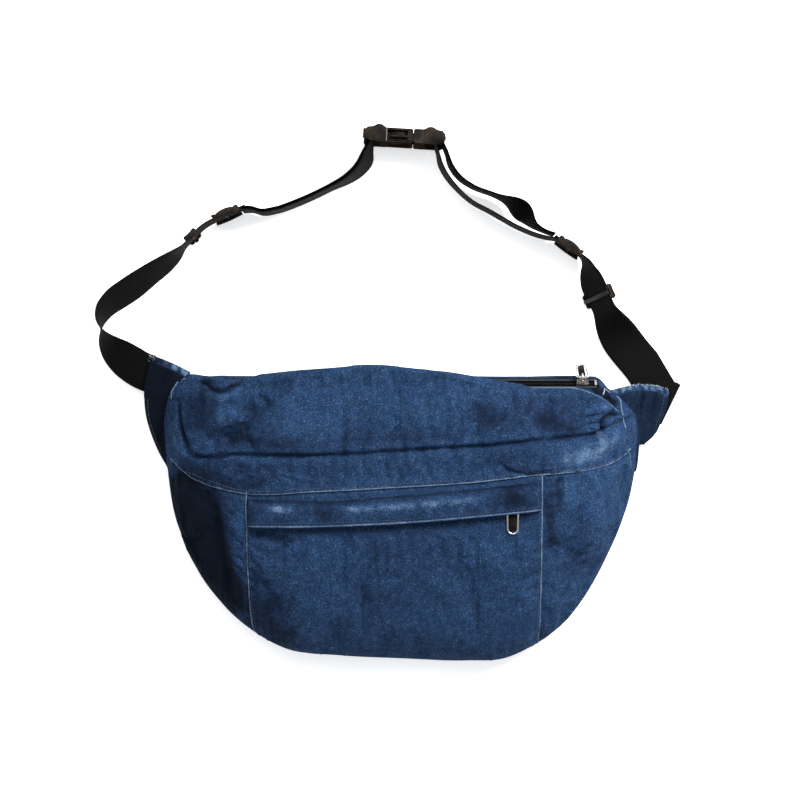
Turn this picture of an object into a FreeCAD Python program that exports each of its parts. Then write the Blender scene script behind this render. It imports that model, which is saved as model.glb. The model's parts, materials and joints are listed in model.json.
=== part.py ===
import FreeCAD, Part
import math
import os

os.makedirs("parts", exist_ok=True)

# Waist pack lying on its back panel, in millimetres.
# X runs along the pack, Y from its bottom to its strap, Z from its back panel to its front.
# The origin is on the flat back panel.

FABRIC = 2.2                 # thickness of a denim panel with its lining
WEB_WIDTH = 38.0             # strap webbing
WEB_THICK = 1.6
GAP = 0.4                    # air between pieces that move past each other
SPLIT_Z = 12.0               # height of the seam between the back panel and the front
CENTRE_SEAM_LEFT = -143.0    # the two upright seams of the front
CENTRE_SEAM_RIGHT = 128.0

# The body, cut across X: place along X, lowest Y, highest Y, height.
BODY_SECTIONS = [
    (-226, 62, 118, 22), (-217, 20, 132, 38), (-200, -40, 136, 56), (-172, -80, 138, 72),
    (-142, -108, 139, 82), (-105, -127, 139, 87), (-55, -134, 139, 88), (0, -135, 139, 88),
    (60, -136, 139, 88), (105, -131, 139, 88), (135, -114, 138, 86), (165, -88, 136, 79),
    (190, -50, 129, 64), (211, 0, 118, 44), (222, 40, 104, 28)]
# One cross-section, from the back panel's lower edge round the front to its upper edge:
# part of the way from lowest to highest Y, and part of the height.
BODY_PROFILE = [
    (0.12, -0.07), (0.03, 0.06), (0.0, 0.22), (0.03, 0.45), (0.13, 0.68), (0.30, 0.86),
    (0.48, 0.96), (0.63, 1.0), (0.77, 0.97), (0.89, 0.84), (0.965, 0.60), (1.0, 0.36),
    (0.985, 0.14), (0.92, -0.07)]
# The yoke seam across the front, seen from above.
YOKE_SEAM = [(-240, 68), (-199, 41), (-150, 26), (-78, 28), (0, 32), (66, 37), (128, 43),
             (183, 49), (202, 56), (240, 82)]

# Main zip: a straight line along X on the upper edge, facing back and up.
MAIN_ZIP = (126.5, 56.0, 42.0)      # Y, Z and lean of its face above level
MAIN_ZIP_ENDS = (-166.0, 182.0)
MAIN_SLIDER_X = 167.5
# Pocket zip: a straight line along X under the welt, facing the front.
POCKET_ZIP = (14.0, 84.1, 95.0)
POCKET_ZIP_ENDS = (-112.0, 112.0)
POCKET_SLIDER_X = 101.0
ZIP_SLOT_HALF = 10.0
CHAIN_HALF = 2.2
CHAIN_LOW = -1.5
CHAIN_HIGH = 0.8
WELT_BAND = [(-142, -6), (0, -1), (127, 10), (127, 36), (0, 26), (-142, 21)]
WELT_RISE = 5.5
WELT_THICK = 1.6

WIRE = 0.95                  # radius of the pull wires
RING_MAJOR = 3.0
RING_MINOR = 0.8
RING_HANG = 1.2              # distance from a ring's centre to the bars that it links
BRIDGE_RISE = 6.8
LOOP_HALF_WIDTH = 5.1
LOOP_LENGTH = 25.0
MAIN_HANG_LEAN = 27.0        # lean of the hanging pull away from upright

# Buckle: stands on edge, its length along BUCKLE_TURN in plan.
BUCKLE_AT = (1.3, 359.0)
BUCKLE_TURN = -3.5
BUCKLE_WIDTH = 46.0
BUCKLE_HALF_THICK = 6.5
ARM_PIVOT_X = 12.5
ARM_PIVOT_INSET = 7.5
BAR_RADIUS = 2.3
BAR_X = 32.0

TRIGLIDE_LENGTH = 27.0
HARDWARE_WIDTH = 46.0
WEB_LOW = 4.0                # the webbing's lower edge where hardware lifts it

# Straps, one station each: X, Y, heading, lean outward from upright, height of the lower edge.
LEFT_STRAP = [
    (-228, 132.4, 168, -74, 9), (-243, 137, 162, -72, 8), (-258, 145, 150, -70, 5),
    (-270, 154, 140, -58, 2), (-279, 163, 128, -40, 1), (-284.5, 173, 109, -20, 1),
    (-286, 184, 88, 2, 1), (-282, 196, 68, 20, 1), (-273, 206, 50, 30, 1),
    (-258, 217, 40, 32, 1), (-240, 230, 36, 26, 1), (-224, 241, 38, 19, 1.5),
    (-214, 249, 43, 10, 2.5), (-207, 256, 46, 0, 4), (-189, 274.6, 46, 0, 4),
    (-184, 278, 24, 0, 4), (-148, 294, 24, 0, 4)]
LEFT_LOOP = [(-142, 291.5), (-133, 289), (-119, 291), (-99, 298), (-66, 313.3),
             (-51, 321), (-40, 330), (-34, 339), (-31.5, 349)]
RIGHT_STRAP = [
    (144, 265.4, -36, 0, 4), (172, 245, -36, 0, 4), (174.6, 240.5, -66, 6, 4.3),
    (176, 235, -76, 14, 4.8), (178, 228.5, -70, 23, 5.4), (180, 222.5, -66, 28, 5.5),
    (192, 195.6, -66, 28, 5.5), (197, 186.5, -60, 42, 3.5), (203.5, 177, -56, 60, 1.5),
    (211, 167, -52, 78, 1), (219, 157.4, -50, 90, 1), (230, 144.3, -50, 90, 1)]
RIGHT_TAUT = [(138, 264.5), (128, 267), (112, 273.4), (81, 290.5), (67, 298), (50, 313.3),
              (41, 325), (36, 335), (33.6, 345)]
RIGHT_LOOSE = [(136, 269.5), (126, 276), (116, 287.5), (105, 297), (86, 305.7), (67, 313),
               (54, 322), (46, 333), (42, 345)]
FOLD_TOP = (261.5, 128.0)
FOLD_FOOT = (243.0, 90.0)
FOLD_RADIUS = 5.6
STRAP_PART = (214.0, 152.0)  # a point on the line that parts the webbing, pack from buckle side
LEFT_TRIGLIDE = (-166.0, 286.0, 24.0)
LEFT_KEEPER = (-198.0, 265.3, 46.0)
RIGHT_TRIGLIDE = (158.0, 255.2, -36.0)
LEFT_WING = [(-196, 134), (-209, 141), (-233, 150), (-237, 153.5), (-240, 147), (-246, 119),
             (-244, 95), (-233, 62), (-222, 48), (-196, 60)]
RIGHT_WING = [(196, 118), (206, 121.5), (222, 126), (240, 125), (253, 121), (253.5, 114),
              (250, 99), (246, 87), (239, 76), (230, 69), (218, 66), (196, 70)]
WING_LOW = 6.0
WING_HIGH = 21.0


def vec(x, y, z=0.0):
    return FreeCAD.Vector(x, y, z)


def export(name, shape):
    shape.exportStep("parts/" + name + ".step")


def box(low, high):
    size = [b - a for a, b in zip(low, high)]
    return Part.makeBox(size[0], size[1], size[2], vec(*low))


def rod(start, end, radius):
    line = end - start
    return Part.makeCylinder(radius, line.Length, start, line)


def join(shapes):
    result = shapes[0]
    for shape in shapes[1:]:
        result = result.fuse(shape)
    return result.removeSplitter()


def prism(points, low, high):
    corners = [vec(x, y, low) for x, y in points]
    wire = Part.makePolygon(corners + corners[:1])
    return Part.Face(wire).extrude(vec(0, 0, high - low))


def placed(shape, x, y, z, turn):
    """A shape modelled round the Z axis, turned about it and moved to its place."""
    copy = shape.copy()
    copy.Placement = FreeCAD.Placement(vec(x, y, z), FreeCAD.Rotation(vec(0, 0, 1), turn))
    return copy


# ---- fabric -------------------------------------------------------------------------------

def body_solid(offset):
    """The body's closed outer form, grown by offset all round, above the back panel."""
    wires = []
    for index, (x, low, high, height) in enumerate(BODY_SECTIONS):
        if index == 0:
            x -= offset
        if index == len(BODY_SECTIONS) - 1:
            x += offset
        span = high - low + 2 * offset
        points = [vec(x, low - offset + s * span, t * (height + offset)) for s, t in BODY_PROFILE]
        curve = Part.BSplineCurve()
        curve.interpolate(points)
        wires.append(Part.Wire([curve.toShape(), Part.makeLine(points[-1], points[0])]))
    floor = max(0.0, -offset)
    loft = Part.makeLoft(wires, True, False)
    return loft.common(box((-300, -300, floor), (300, 300, 200)))


def zip_frame(zip_line):
    """Placement of a zip: local X along it, local Y across the tape, local Z out of its face."""
    y, z, lean = zip_line
    return FreeCAD.Placement(vec(0, y, z), FreeCAD.Rotation(vec(1, 0, 0), lean - 90))


def in_zip(shape, zip_line):
    copy = shape.copy()
    copy.Placement = zip_frame(zip_line).multiply(copy.Placement)
    return copy


def zip_slot(zip_line, ends):
    slot = box((ends[0], -ZIP_SLOT_HALF, -14), (ends[1], ZIP_SLOT_HALF, 14))
    return in_zip(slot, zip_line)


def fabric_panels():
    outer = body_solid(0)
    inner = body_solid(-FABRIC)
    shell = outer.cut(inner)
    shell = shell.cut(zip_slot(MAIN_ZIP, MAIN_ZIP_ENDS))
    shell = shell.cut(zip_slot(POCKET_ZIP, POCKET_ZIP_ENDS))
    top = 200
    back = shell.common(box((-300, -300, -1), (300, 300, SPLIT_Z)))
    front = shell.common(box((-300, -300, SPLIT_Z), (300, 300, top)))
    above_seam = prism(YOKE_SEAM + [(240, 300), (-240, 300)], 0, top)
    lower = front.cut(above_seam)
    upper = front.common(above_seam)
    behind_zip = in_zip(box((-300, 0, -200), (300, 300, 200)), MAIN_ZIP)
    export("back_panel", back)
    centre = box((CENTRE_SEAM_LEFT, -300, 0), (CENTRE_SEAM_RIGHT, 300, top))
    left = box((-300, -300, 0), (CENTRE_SEAM_LEFT, 300, top))
    right = box((CENTRE_SEAM_RIGHT, -300, 0), (300, 300, top))
    export("front_centre_panel", lower.common(centre))
    export("front_side_panel_left", lower.common(left))
    export("front_side_panel_right", lower.common(right))
    export("yoke_panel", upper.cut(behind_zip))
    export("top_back_panel", upper.common(behind_zip))
    return outer


def linings():
    """The main lining and, in front of it, the flat bag of the front pocket."""
    lining = body_solid(-7.0).cut(body_solid(-7.8))
    lining = lining.cut(zip_slot(MAIN_ZIP, MAIN_ZIP_ENDS))
    export("main_lining", lining)
    pocket = body_solid(-5.2).cut(body_solid(-6.4))
    region = prism([(-125, -95), (118, -95), (118, 1), (-125, 1)], 30, 200)
    export("pocket_lining", pocket.common(region))


def pocket_welt():
    band = body_solid(WELT_RISE + WELT_THICK).cut(body_solid(WELT_RISE))
    band = band.common(prism(WELT_BAND, 30, 200))
    foot = body_solid(WELT_RISE + WELT_THICK).cut(body_solid(0.1))
    head = [(x, y - 3) for x, y in WELT_BAND[3:]]
    head_strip = foot.common(prism(WELT_BAND[3:] + head[::-1], 30, 200))
    left_end = foot.common(prism([(-142, -6), (-136, -6), (-136, 22), (-142, 21)], 30, 200))
    right_end = foot.common(prism([(121, 9.5), (127, 10), (127, 36), (121, 35.5)], 30, 200))
    export("pocket_welt", join([band, head_strip, left_end, right_end]))


def wing(name, outline, body, webbing):
    tab = prism(outline, WING_LOW, WING_HIGH)
    tab = tab.makeFillet(4.0, [e for e in tab.Edges if abs(e.BoundBox.ZLength) < 0.01])
    export(name, tab.cut(body).cut(webbing))


# ---- zips ---------------------------------------------------------------------------------

def zip_tapes_and_chain(prefix, zip_line, ends, upper_name, lower_name):
    start, end = ends[0] + GAP, ends[1] - GAP
    inside = CHAIN_HALF + 1.8
    outside = ZIP_SLOT_HALF - GAP
    upper = box((start, inside, -0.9), (end, outside, -0.1))
    lower = box((start, -outside, -0.9), (end, -inside, -0.1))
    chain = box((start + 3, -CHAIN_HALF, CHAIN_LOW), (end - 3, CHAIN_HALF, CHAIN_HIGH))
    stops = [box((x, -CHAIN_HALF - 1.2, CHAIN_LOW), (x + 2.4, CHAIN_HALF + 1.2, CHAIN_HIGH + 0.4))
             for x in (start + 0.3, end - 2.7)]
    export(prefix + "_zip_tape_" + upper_name, in_zip(upper, zip_line))
    export(prefix + "_zip_tape_" + lower_name, in_zip(lower, zip_line))
    export(prefix + "_zip_coil", in_zip(chain, zip_line))
    export(prefix + "_zip_stops", in_zip(Part.makeCompound(stops), zip_line))


def slider_body():
    """A slider round the chain: a short tube with a wider top plate, nose to +X."""
    inner = CHAIN_HALF + GAP
    tube = box((-5.5, -inner - 0.8, -2.7), (5.5, inner + 0.8, 2.4))
    bore = box((-6, -inner, CHAIN_LOW - GAP), (6, inner, CHAIN_HIGH + GAP))
    plate = prism([(-5.5, -3.2), (1.5, -4.6), (5.5, -3.6), (5.5, 3.6), (1.5, 4.6), (-5.5, 3.2)],
                  CHAIN_HIGH + GAP, 2.4)
    return join([tube, plate]).cut(bore)


def slider_with_bridge():
    posts = [rod(vec(x, 0, 2.0), vec(x, 0, BRIDGE_RISE), 0.8) for x in (-2.6, 2.6)]
    bar = rod(vec(-3.4, 0, BRIDGE_RISE), vec(3.4, 0, BRIDGE_RISE), 0.9)
    return join([slider_body()] + posts + [bar])


def slider_with_lugs(pin_height):
    shape = slider_body()
    for x in (-3.2, 1.8):
        lug = box((x, -1.8, 2.0), (x + 1.4, 1.8, pin_height + 1.5))
        shape = join([shape, lug])
    hole = rod(vec(-6, 0, pin_height), vec(6, 0, pin_height), WIRE + 0.08)
    return shape.cut(hole)


def wire_loop():
    """A closed wire loop: its bar on the X axis at the origin, the loop towards -Y."""
    bend = LOOP_HALF_WIDTH - 0.6
    straight = LOOP_LENGTH - bend
    corner = vec(LOOP_HALF_WIDTH, 0)
    foot = vec(bend, -straight)
    mirror_corner = vec(-LOOP_HALF_WIDTH, 0)
    mirror_foot = vec(-bend, -straight)
    pieces = [rod(mirror_corner, corner, WIRE), rod(corner, foot, WIRE)]
    pieces.append(rod(mirror_corner, mirror_foot, WIRE))
    for point in (corner, mirror_corner, foot, mirror_foot):
        pieces.append(Part.makeSphere(WIRE, point))
    half = Part.makeTorus(bend, WIRE, vec(0, -straight), vec(0, 0, 1))
    pieces.append(half.common(box((-20, -60, -5), (20, -straight, 5))))
    return join(pieces)


def hanging(shape, x, y, z, lean):
    """Turn a shape modelled towards -Y until it hangs, leaning back from upright, from a point."""
    copy = shape.copy()
    copy.Placement = FreeCAD.Placement(vec(x, y, z), FreeCAD.Rotation(vec(1, 0, 0), lean + 90))
    return copy


def main_zip():
    zip_tapes_and_chain("main", MAIN_ZIP, MAIN_ZIP_ENDS, "back", "front")
    slider = slider_with_bridge()
    slider.translate(vec(MAIN_SLIDER_X, 0, 0))
    export("main_zip_slider", in_zip(slider, MAIN_ZIP))
    bar = zip_frame(MAIN_ZIP).multVec(vec(MAIN_SLIDER_X, 0, BRIDGE_RISE))
    lean = math.radians(MAIN_HANG_LEAN)
    down = vec(0, math.sin(lean), -math.cos(lean))
    ring_at = bar + down * RING_HANG
    export("main_pull_ring", Part.makeTorus(RING_MAJOR, RING_MINOR, ring_at, vec(1, 0, 0)))
    loop_at = bar + down * (2 * RING_HANG - 0.15)
    loop = hanging(wire_loop(), loop_at.x, loop_at.y, loop_at.z, MAIN_HANG_LEAN)
    export("main_pull_loop", loop)
    print("main pull bar", bar, "loop", loop_at)


def pocket_zip():
    zip_tapes_and_chain("pocket", POCKET_ZIP, POCKET_ZIP_ENDS, "upper", "lower")
    pin = 3.7
    slider = slider_with_lugs(pin)
    slider.translate(vec(POCKET_SLIDER_X, 0, 0))
    export("pocket_zip_slider", in_zip(slider, POCKET_ZIP))
    pin_at = zip_frame(POCKET_ZIP).multVec(vec(POCKET_SLIDER_X, 0, pin))
    loop = wire_loop()
    loop.Placement = FreeCAD.Placement(pin_at, FreeCAD.Rotation(vec(1, 0, 0), 3))
    export("pocket_pull_loop", loop)
    print("pocket pin", pin_at)


# ---- straps -------------------------------------------------------------------------------

def station_section(x, y, heading, lean, low):
    """The webbing's rectangle at one station: upright when lean is 0, flat when it is 90."""
    turn = math.radians(heading)
    tilt = math.radians(lean)
    outward = vec(-math.sin(turn), math.cos(turn))
    across = outward * math.sin(tilt) + vec(0, 0, math.cos(tilt))
    face = outward * math.cos(tilt) - vec(0, 0, math.sin(tilt))
    lift = WEB_WIDTH / 2 * math.cos(tilt) + WEB_THICK / 2 * abs(math.sin(tilt))
    middle = vec(x, y, low + lift)
    half_across = across * (WEB_WIDTH / 2)
    half_face = face * (WEB_THICK / 2)
    corners = [middle - half_across - half_face, middle + half_across - half_face,
               middle + half_across + half_face, middle - half_across + half_face]
    return Part.makePolygon(corners + corners[:1])


def strap(stations):
    return Part.makeLoft([station_section(*s) for s in stations], True, True)


def rounded_route(points, bar, radius, back):
    """Stations up to a bar, round it and back: each turns half way between its neighbours."""
    around = []
    for step in range(7):
        angle = math.radians(180 - 30 * step)
        around.append((bar[0] + radius * math.cos(angle), bar[1] + radius * math.sin(angle)))
    route = points + around + back
    stations = []
    for index, (x, y) in enumerate(route):
        before = route[max(index - 1, 0)]
        after = route[min(index + 1, len(route) - 1)]
        heading = math.degrees(math.atan2(after[1] - before[1], after[0] - before[0]))
        stations.append((x, y, heading, 0, WEB_LOW))
    return stations


def shifted(points, distance):
    """A line of points moved sideways, to the right of its run, by distance."""
    moved = []
    for index, (x, y) in enumerate(points):
        before = points[max(index - 1, 0)]
        after = points[min(index + 1, len(points) - 1)]
        run = math.hypot(after[0] - before[0], after[1] - before[1])
        moved.append((x + distance * (after[1] - before[1]) / run,
                      y - distance * (after[0] - before[0]) / run))
    return moved


def buckle_point(x, y):
    turn = math.radians(BUCKLE_TURN)
    return (BUCKLE_AT[0] + x * math.cos(turn) - y * math.sin(turn),
            BUCKLE_AT[1] + x * math.sin(turn) + y * math.cos(turn))


def left_straps():
    webbing = strap(LEFT_STRAP)
    export("left_webbing", webbing)
    wrap = BAR_RADIUS + GAP + WEB_THICK / 2
    outer = shifted(LEFT_LOOP, -1.3)
    inner = shifted(LEFT_LOOP, 1.3)[::-1]
    route = rounded_route(outer, buckle_point(-BAR_X, 0), wrap, inner)
    export("left_webbing_loop", strap(route))
    return webbing


def right_fold():
    """The webbing's flat end: folded up along a slanted line and run back into the wing."""
    top, foot = vec(*FOLD_TOP, 0), vec(*FOLD_FOOT, 0)
    line = foot - top
    across = vec(-line.y, line.x).normalize()
    low = 1.0
    centre = low + FOLD_RADIUS
    inner = FOLD_RADIUS - WEB_THICK
    start = top + vec(0, 0, low)
    ring = Part.Face([Part.Wire([
        Part.makeLine(start, start + vec(0, 0, WEB_THICK)),
        Part.Arc(start + vec(0, 0, WEB_THICK), top + across * inner + vec(0, 0, centre),
                 top + vec(0, 0, centre + inner)).toShape(),
        Part.makeLine(top + vec(0, 0, centre + inner), top + vec(0, 0, centre + FOLD_RADIUS)),
        Part.Arc(top + vec(0, 0, centre + FOLD_RADIUS),
                 top + across * FOLD_RADIUS + vec(0, 0, centre), start).toShape()])])
    fold = ring.extrude(line)
    high = centre + inner
    back = vec(-19, 1.6)
    tail = prism([(top.x, top.y), (foot.x, foot.y), (foot.x + back.x, foot.y + back.y),
                  (top.x + back.x, top.y + back.y)], high, high + WEB_THICK)
    return fold, tail


def right_straps():
    below = placed(box((-500, -500, -10), (500, 0, 60)), STRAP_PART[0], STRAP_PART[1], 0, BUCKLE_TURN)
    end = RIGHT_STRAP[-1]
    turn = math.radians(end[2] + 90)
    side = vec(math.cos(turn), math.sin(turn)) * (WEB_WIDTH / 2)
    flat = prism([(end[0] + side.x, end[1] + side.y), FOLD_TOP, FOLD_FOOT,
                  (end[0] - side.x, end[1] - side.y)], 1.0, 1.0 + WEB_THICK)
    run = join([strap(RIGHT_STRAP), flat])
    fold, tail = right_fold()
    anchor = join([run.common(below), fold, tail])
    export("right_webbing_anchor", anchor)
    clear = placed(box((-500, -500, -10), (500, GAP, 60)), STRAP_PART[0], STRAP_PART[1], 0, BUCKLE_TURN)
    export("right_webbing", run.cut(clear))
    wrap = BAR_RADIUS + GAP + WEB_THICK / 2
    bar = buckle_point(BAR_X, 0)
    route = rounded_route(RIGHT_TAUT, bar, wrap, RIGHT_LOOSE[::-1])
    export("right_webbing_loop", strap(route))
    return anchor


# ---- hardware -----------------------------------------------------------------------------

def ladder(length, bars):
    """A three-bar slide: two rails beyond the webbing's edges and cross bars beside its faces."""
    rail = (HARDWARE_WIDTH - WEB_WIDTH) / 2 - GAP
    pieces = []
    for low in (0.0, HARDWARE_WIDTH - rail):
        edge = box((-length / 2, -3.2, low), (length / 2, 3.2, low + rail))
        pieces.append(edge.makeFillet(1.2, [e for e in edge.Edges if e.Length < 6.5]))
    for x, side in bars:
        at = side * (WEB_THICK / 2 + GAP + 1.1)
        bar = box((x - 2.2, at - 1.1, 0.5), (x + 2.2, at + 1.1, HARDWARE_WIDTH - 0.5))
        pieces.append(bar.makeFillet(0.8, [e for e in bar.Edges if e.Length > 20]))
    return join(pieces)


def strap_hardware():
    slide_bars = [(-11.3, 1), (0, -1), (11.3, 1)]
    slide = ladder(TRIGLIDE_LENGTH, slide_bars)
    loop = ladder(16.0, [(-5.6, 1), (5.6, 1), (0, -1)])
    export("left_triglide", placed(slide, LEFT_TRIGLIDE[0], LEFT_TRIGLIDE[1], 0, LEFT_TRIGLIDE[2]))
    export("left_keeper", placed(loop, LEFT_KEEPER[0], LEFT_KEEPER[1], 0, LEFT_KEEPER[2]))
    export("right_triglide",
           placed(slide, RIGHT_TRIGLIDE[0], RIGHT_TRIGLIDE[1], 0, RIGHT_TRIGLIDE[2]))
    return loop


def place_on_run(shape, first, last):
    """Place a slide on the straight, leaning run between two stations of the right strap."""
    start = station_section(*first).CenterOfMass
    end = station_section(*last).CenterOfMass
    along = (end - start).normalize()
    lean = math.radians((first[3] + last[3]) / 2)
    turn = math.radians(first[2])
    outward = vec(-math.sin(turn), math.cos(turn))
    across = outward * math.sin(lean) + vec(0, 0, math.cos(lean))
    across = (across - along * across.dot(along)).normalize()
    face = across.cross(along)
    middle = (start + end) * 0.5
    matrix = FreeCAD.Matrix(along.x, face.x, across.x, middle.x,
                            along.y, face.y, across.y, middle.y,
                            along.z, face.z, across.z, middle.z,
                            0, 0, 0, 1)
    copy = shape.copy()
    copy.translate(vec(0, 0, -HARDWARE_WIDTH / 2))
    copy.Placement = FreeCAD.Placement(matrix).multiply(copy.Placement)
    print("right keeper at", middle, "along", along)
    return copy


def female_buckle():
    """The socket: end bar at -X, hollow from its mouth, a window in each narrow side."""
    half = BUCKLE_HALF_THICK
    body = box((-23, -half, 0), (9, half, BUCKLE_WIDTH))
    body = body.makeFillet(2.0, [e for e in body.Edges if e.Length > 25])
    cavity = box((-19, -half + 1.7, 1.6), (10, half - 1.7, BUCKLE_WIDTH - 1.6))
    windows = box((-15, -half + 2.2, -1), (4, half - 2.2, BUCKLE_WIDTH + 1))
    body = body.cut(cavity).cut(windows)
    rails = [box((-38, -4.5, z), (-20, 4.5, z + 3.4)) for z in (0.0, BUCKLE_WIDTH - 3.4)]
    rails = [r.makeFillet(1.2, [e for e in r.Edges if e.Length > 16]) for r in rails]
    bar = rod(vec(-BAR_X, 0, 1), vec(-BAR_X, 0, BUCKLE_WIDTH - 1), BAR_RADIUS)
    return join([body, bar] + rails)


def male_buckle():
    """The plug: end bar at +X, a solid root with two round seats, and a centre guide."""
    half = BUCKLE_HALF_THICK
    root = box((9.4, -half, 0), (22, half, BUCKLE_WIDTH))
    root = root.makeFillet(2.0, [e for e in root.Edges if e.Length > 25])
    rails = [box((20, -4.5, z), (38, 4.5, z + 3.4)) for z in (0.0, BUCKLE_WIDTH - 3.4)]
    rails = [r.makeFillet(1.2, [e for e in r.Edges if e.Length > 16]) for r in rails]
    bar = rod(vec(BAR_X, 0, 1), vec(BAR_X, 0, BUCKLE_WIDTH - 1), BAR_RADIUS)
    guide = box((-16, -2.4, BUCKLE_WIDTH / 2 - 4), (12, 2.4, BUCKLE_WIDTH / 2 + 4))
    guide = guide.makeFillet(1.2, [e for e in guide.Edges if e.Length > 20])
    body = join([root, bar, guide] + rails)
    for z in (ARM_PIVOT_INSET, BUCKLE_WIDTH - ARM_PIVOT_INSET):
        seat = rod(vec(ARM_PIVOT_X, -3.4, z), vec(ARM_PIVOT_X, 3.4, z), 2.4 + GAP)
        mouth = box((8, -3.4, z - 4.2), (ARM_PIVOT_X, 3.4, z + 4.2))
        body = body.cut(seat).cut(mouth)
    return body


def latch_arm():
    """One latch arm, modelled with its pivot at the origin and its pad towards +Z."""
    pivot = rod(vec(0, -3.0, 0), vec(0, 3.0, 0), 2.4)
    beam = box((-27, -3.0, -1.9), (0, 3.0, 1.9))
    pad = Part.Face(Part.makePolygon([vec(-27, -3.0, 1), vec(-24, -3.0, 3.6), vec(-18, -3.0, 5.6),
                                      vec(-12, -3.0, 5.6), vec(-8.4, -3.0, 1.5), vec(-27, -3.0, 1)]))
    return join([pivot, beam, pad.extrude(vec(0, 6.0, 0))])


def buckle():
    def at_buckle(shape, x=0.0, z=0.0):
        copy = shape.copy()
        copy.translate(vec(x, 0, z))
        turn = FreeCAD.Rotation(vec(0, 0, 1), BUCKLE_TURN)
        copy.Placement = FreeCAD.Placement(vec(*BUCKLE_AT), turn).multiply(copy.Placement)
        return copy
    export("female_buckle_body", at_buckle(female_buckle()))
    export("male_buckle_body", at_buckle(male_buckle()))
    arm = latch_arm()
    export("latch_arm_upper", at_buckle(arm, ARM_PIVOT_X, BUCKLE_WIDTH - ARM_PIVOT_INSET))
    lower = arm.mirror(vec(0, 0, 0), vec(0, 0, 1))
    export("latch_arm_lower", at_buckle(lower, ARM_PIVOT_X, ARM_PIVOT_INSET))
    print("arm pivots", buckle_point(ARM_PIVOT_X, 0))


outer_body = fabric_panels()
linings()
pocket_welt()
main_zip()
pocket_zip()
left_web = left_straps()
right_anchor = right_straps()
wing("left_wing", LEFT_WING, outer_body, left_web)
wing("right_wing", RIGHT_WING, outer_body, right_anchor)
keeper = strap_hardware()
export("right_keeper", place_on_run(keeper, RIGHT_STRAP[5], RIGHT_STRAP[6]))
buckle()
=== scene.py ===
import bpy
import json
import math
import numpy as np
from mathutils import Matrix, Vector
from mathutils.bvhtree import BVHTree


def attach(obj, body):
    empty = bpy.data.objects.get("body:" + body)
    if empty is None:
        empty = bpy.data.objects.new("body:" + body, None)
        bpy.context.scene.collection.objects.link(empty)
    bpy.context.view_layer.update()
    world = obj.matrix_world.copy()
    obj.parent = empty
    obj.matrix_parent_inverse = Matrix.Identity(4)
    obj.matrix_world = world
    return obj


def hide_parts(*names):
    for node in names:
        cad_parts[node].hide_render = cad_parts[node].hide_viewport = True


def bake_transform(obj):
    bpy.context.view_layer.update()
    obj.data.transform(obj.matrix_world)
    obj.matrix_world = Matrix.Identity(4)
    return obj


# Waist pack lying on its back panel. Lengths in this script are millimetres, in the CAD frame,
# and become metres where a mesh, a light or the camera is made.

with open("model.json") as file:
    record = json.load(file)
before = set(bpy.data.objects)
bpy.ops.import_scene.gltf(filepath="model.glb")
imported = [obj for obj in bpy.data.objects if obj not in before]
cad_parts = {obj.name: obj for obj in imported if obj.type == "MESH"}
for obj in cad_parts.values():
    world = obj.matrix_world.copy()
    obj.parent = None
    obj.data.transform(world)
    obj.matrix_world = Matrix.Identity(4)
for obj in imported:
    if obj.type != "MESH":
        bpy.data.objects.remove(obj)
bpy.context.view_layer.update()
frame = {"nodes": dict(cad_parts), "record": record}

MM = 0.001

# ---- camera, lights and floor -------------------------------------------------------------

CAMERA_AT = (-2.0, 111.0, 1800.0)
SENSOR = 36.0
VIEW_WIDTH = 768.0           # width of the floor that the picture takes in
FLOOR_HALF = 6.0             # metres, as the lights below are
FLOOR_DROP = 0.0002
FLOOR_GLOW = 0.56
LIGHTS = {"key_light": ((0.95, 0.95, 1.25), (0.0, 0.08, 0.03), 0.7, 46.0),
          "top_light": ((-0.2, 0.9, 1.6), (0.0, 0.1, 0.03), 1.2, 12.0)}


def place(obj):
    bpy.context.scene.collection.objects.link(obj)
    return obj


def make_camera():
    data = bpy.data.cameras.new("camera")
    data.sensor_width = SENSOR
    data.lens = SENSOR * CAMERA_AT[2] / VIEW_WIDTH
    data.clip_end = 20.0
    camera = place(bpy.data.objects.new("camera", data))
    camera.location = Vector(CAMERA_AT) * MM
    bpy.context.scene.camera = camera


def soft_light(name, at, towards, size, power):
    data = bpy.data.lights.new(name, "AREA")
    data.shape = "DISK"
    data.size = size
    data.energy = power
    light = place(bpy.data.objects.new(name, data))
    light.location = at
    light.rotation_euler = (Vector(towards) - Vector(at)).to_track_quat("-Z", "Y").to_euler()


def make_stage():
    scene = bpy.context.scene
    scene.view_settings.view_transform = "Standard"
    world = bpy.data.worlds.new("studio")
    world.use_nodes = True
    sky = world.node_tree.nodes["Background"].inputs
    sky["Color"].default_value, sky["Strength"].default_value = (0.93, 0.96, 1.0, 1.0), 0.5
    scene.world = world
    for name, settings in LIGHTS.items():
        soft_light(name, *settings)
    mesh = bpy.data.meshes.new("floor")
    corners = [(x * FLOOR_HALF, y * FLOOR_HALF, 0) for x, y in ((-1, -1), (1, -1), (1, 1), (-1, 1))]
    mesh.from_pydata(corners, [], [(0, 1, 2, 3)])
    floor = place(bpy.data.objects.new("floor", mesh))
    floor.location.z = -FLOOR_DROP
    material = bpy.data.materials.new("floor")
    material.use_nodes = True
    shader = material.node_tree.nodes["Principled BSDF"]
    for key, value in {"Base Color": (0.93, 0.93, 0.93, 1.0), "Roughness": 0.9,
                       "Emission Color": (1.0, 1.0, 1.0, 1.0), "Emission Strength": FLOOR_GLOW}.items():
        shader.inputs[key].default_value = value
    mesh.materials.append(material)


make_camera()
make_stage()

# ---- materials ----------------------------------------------------------------------------

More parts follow.
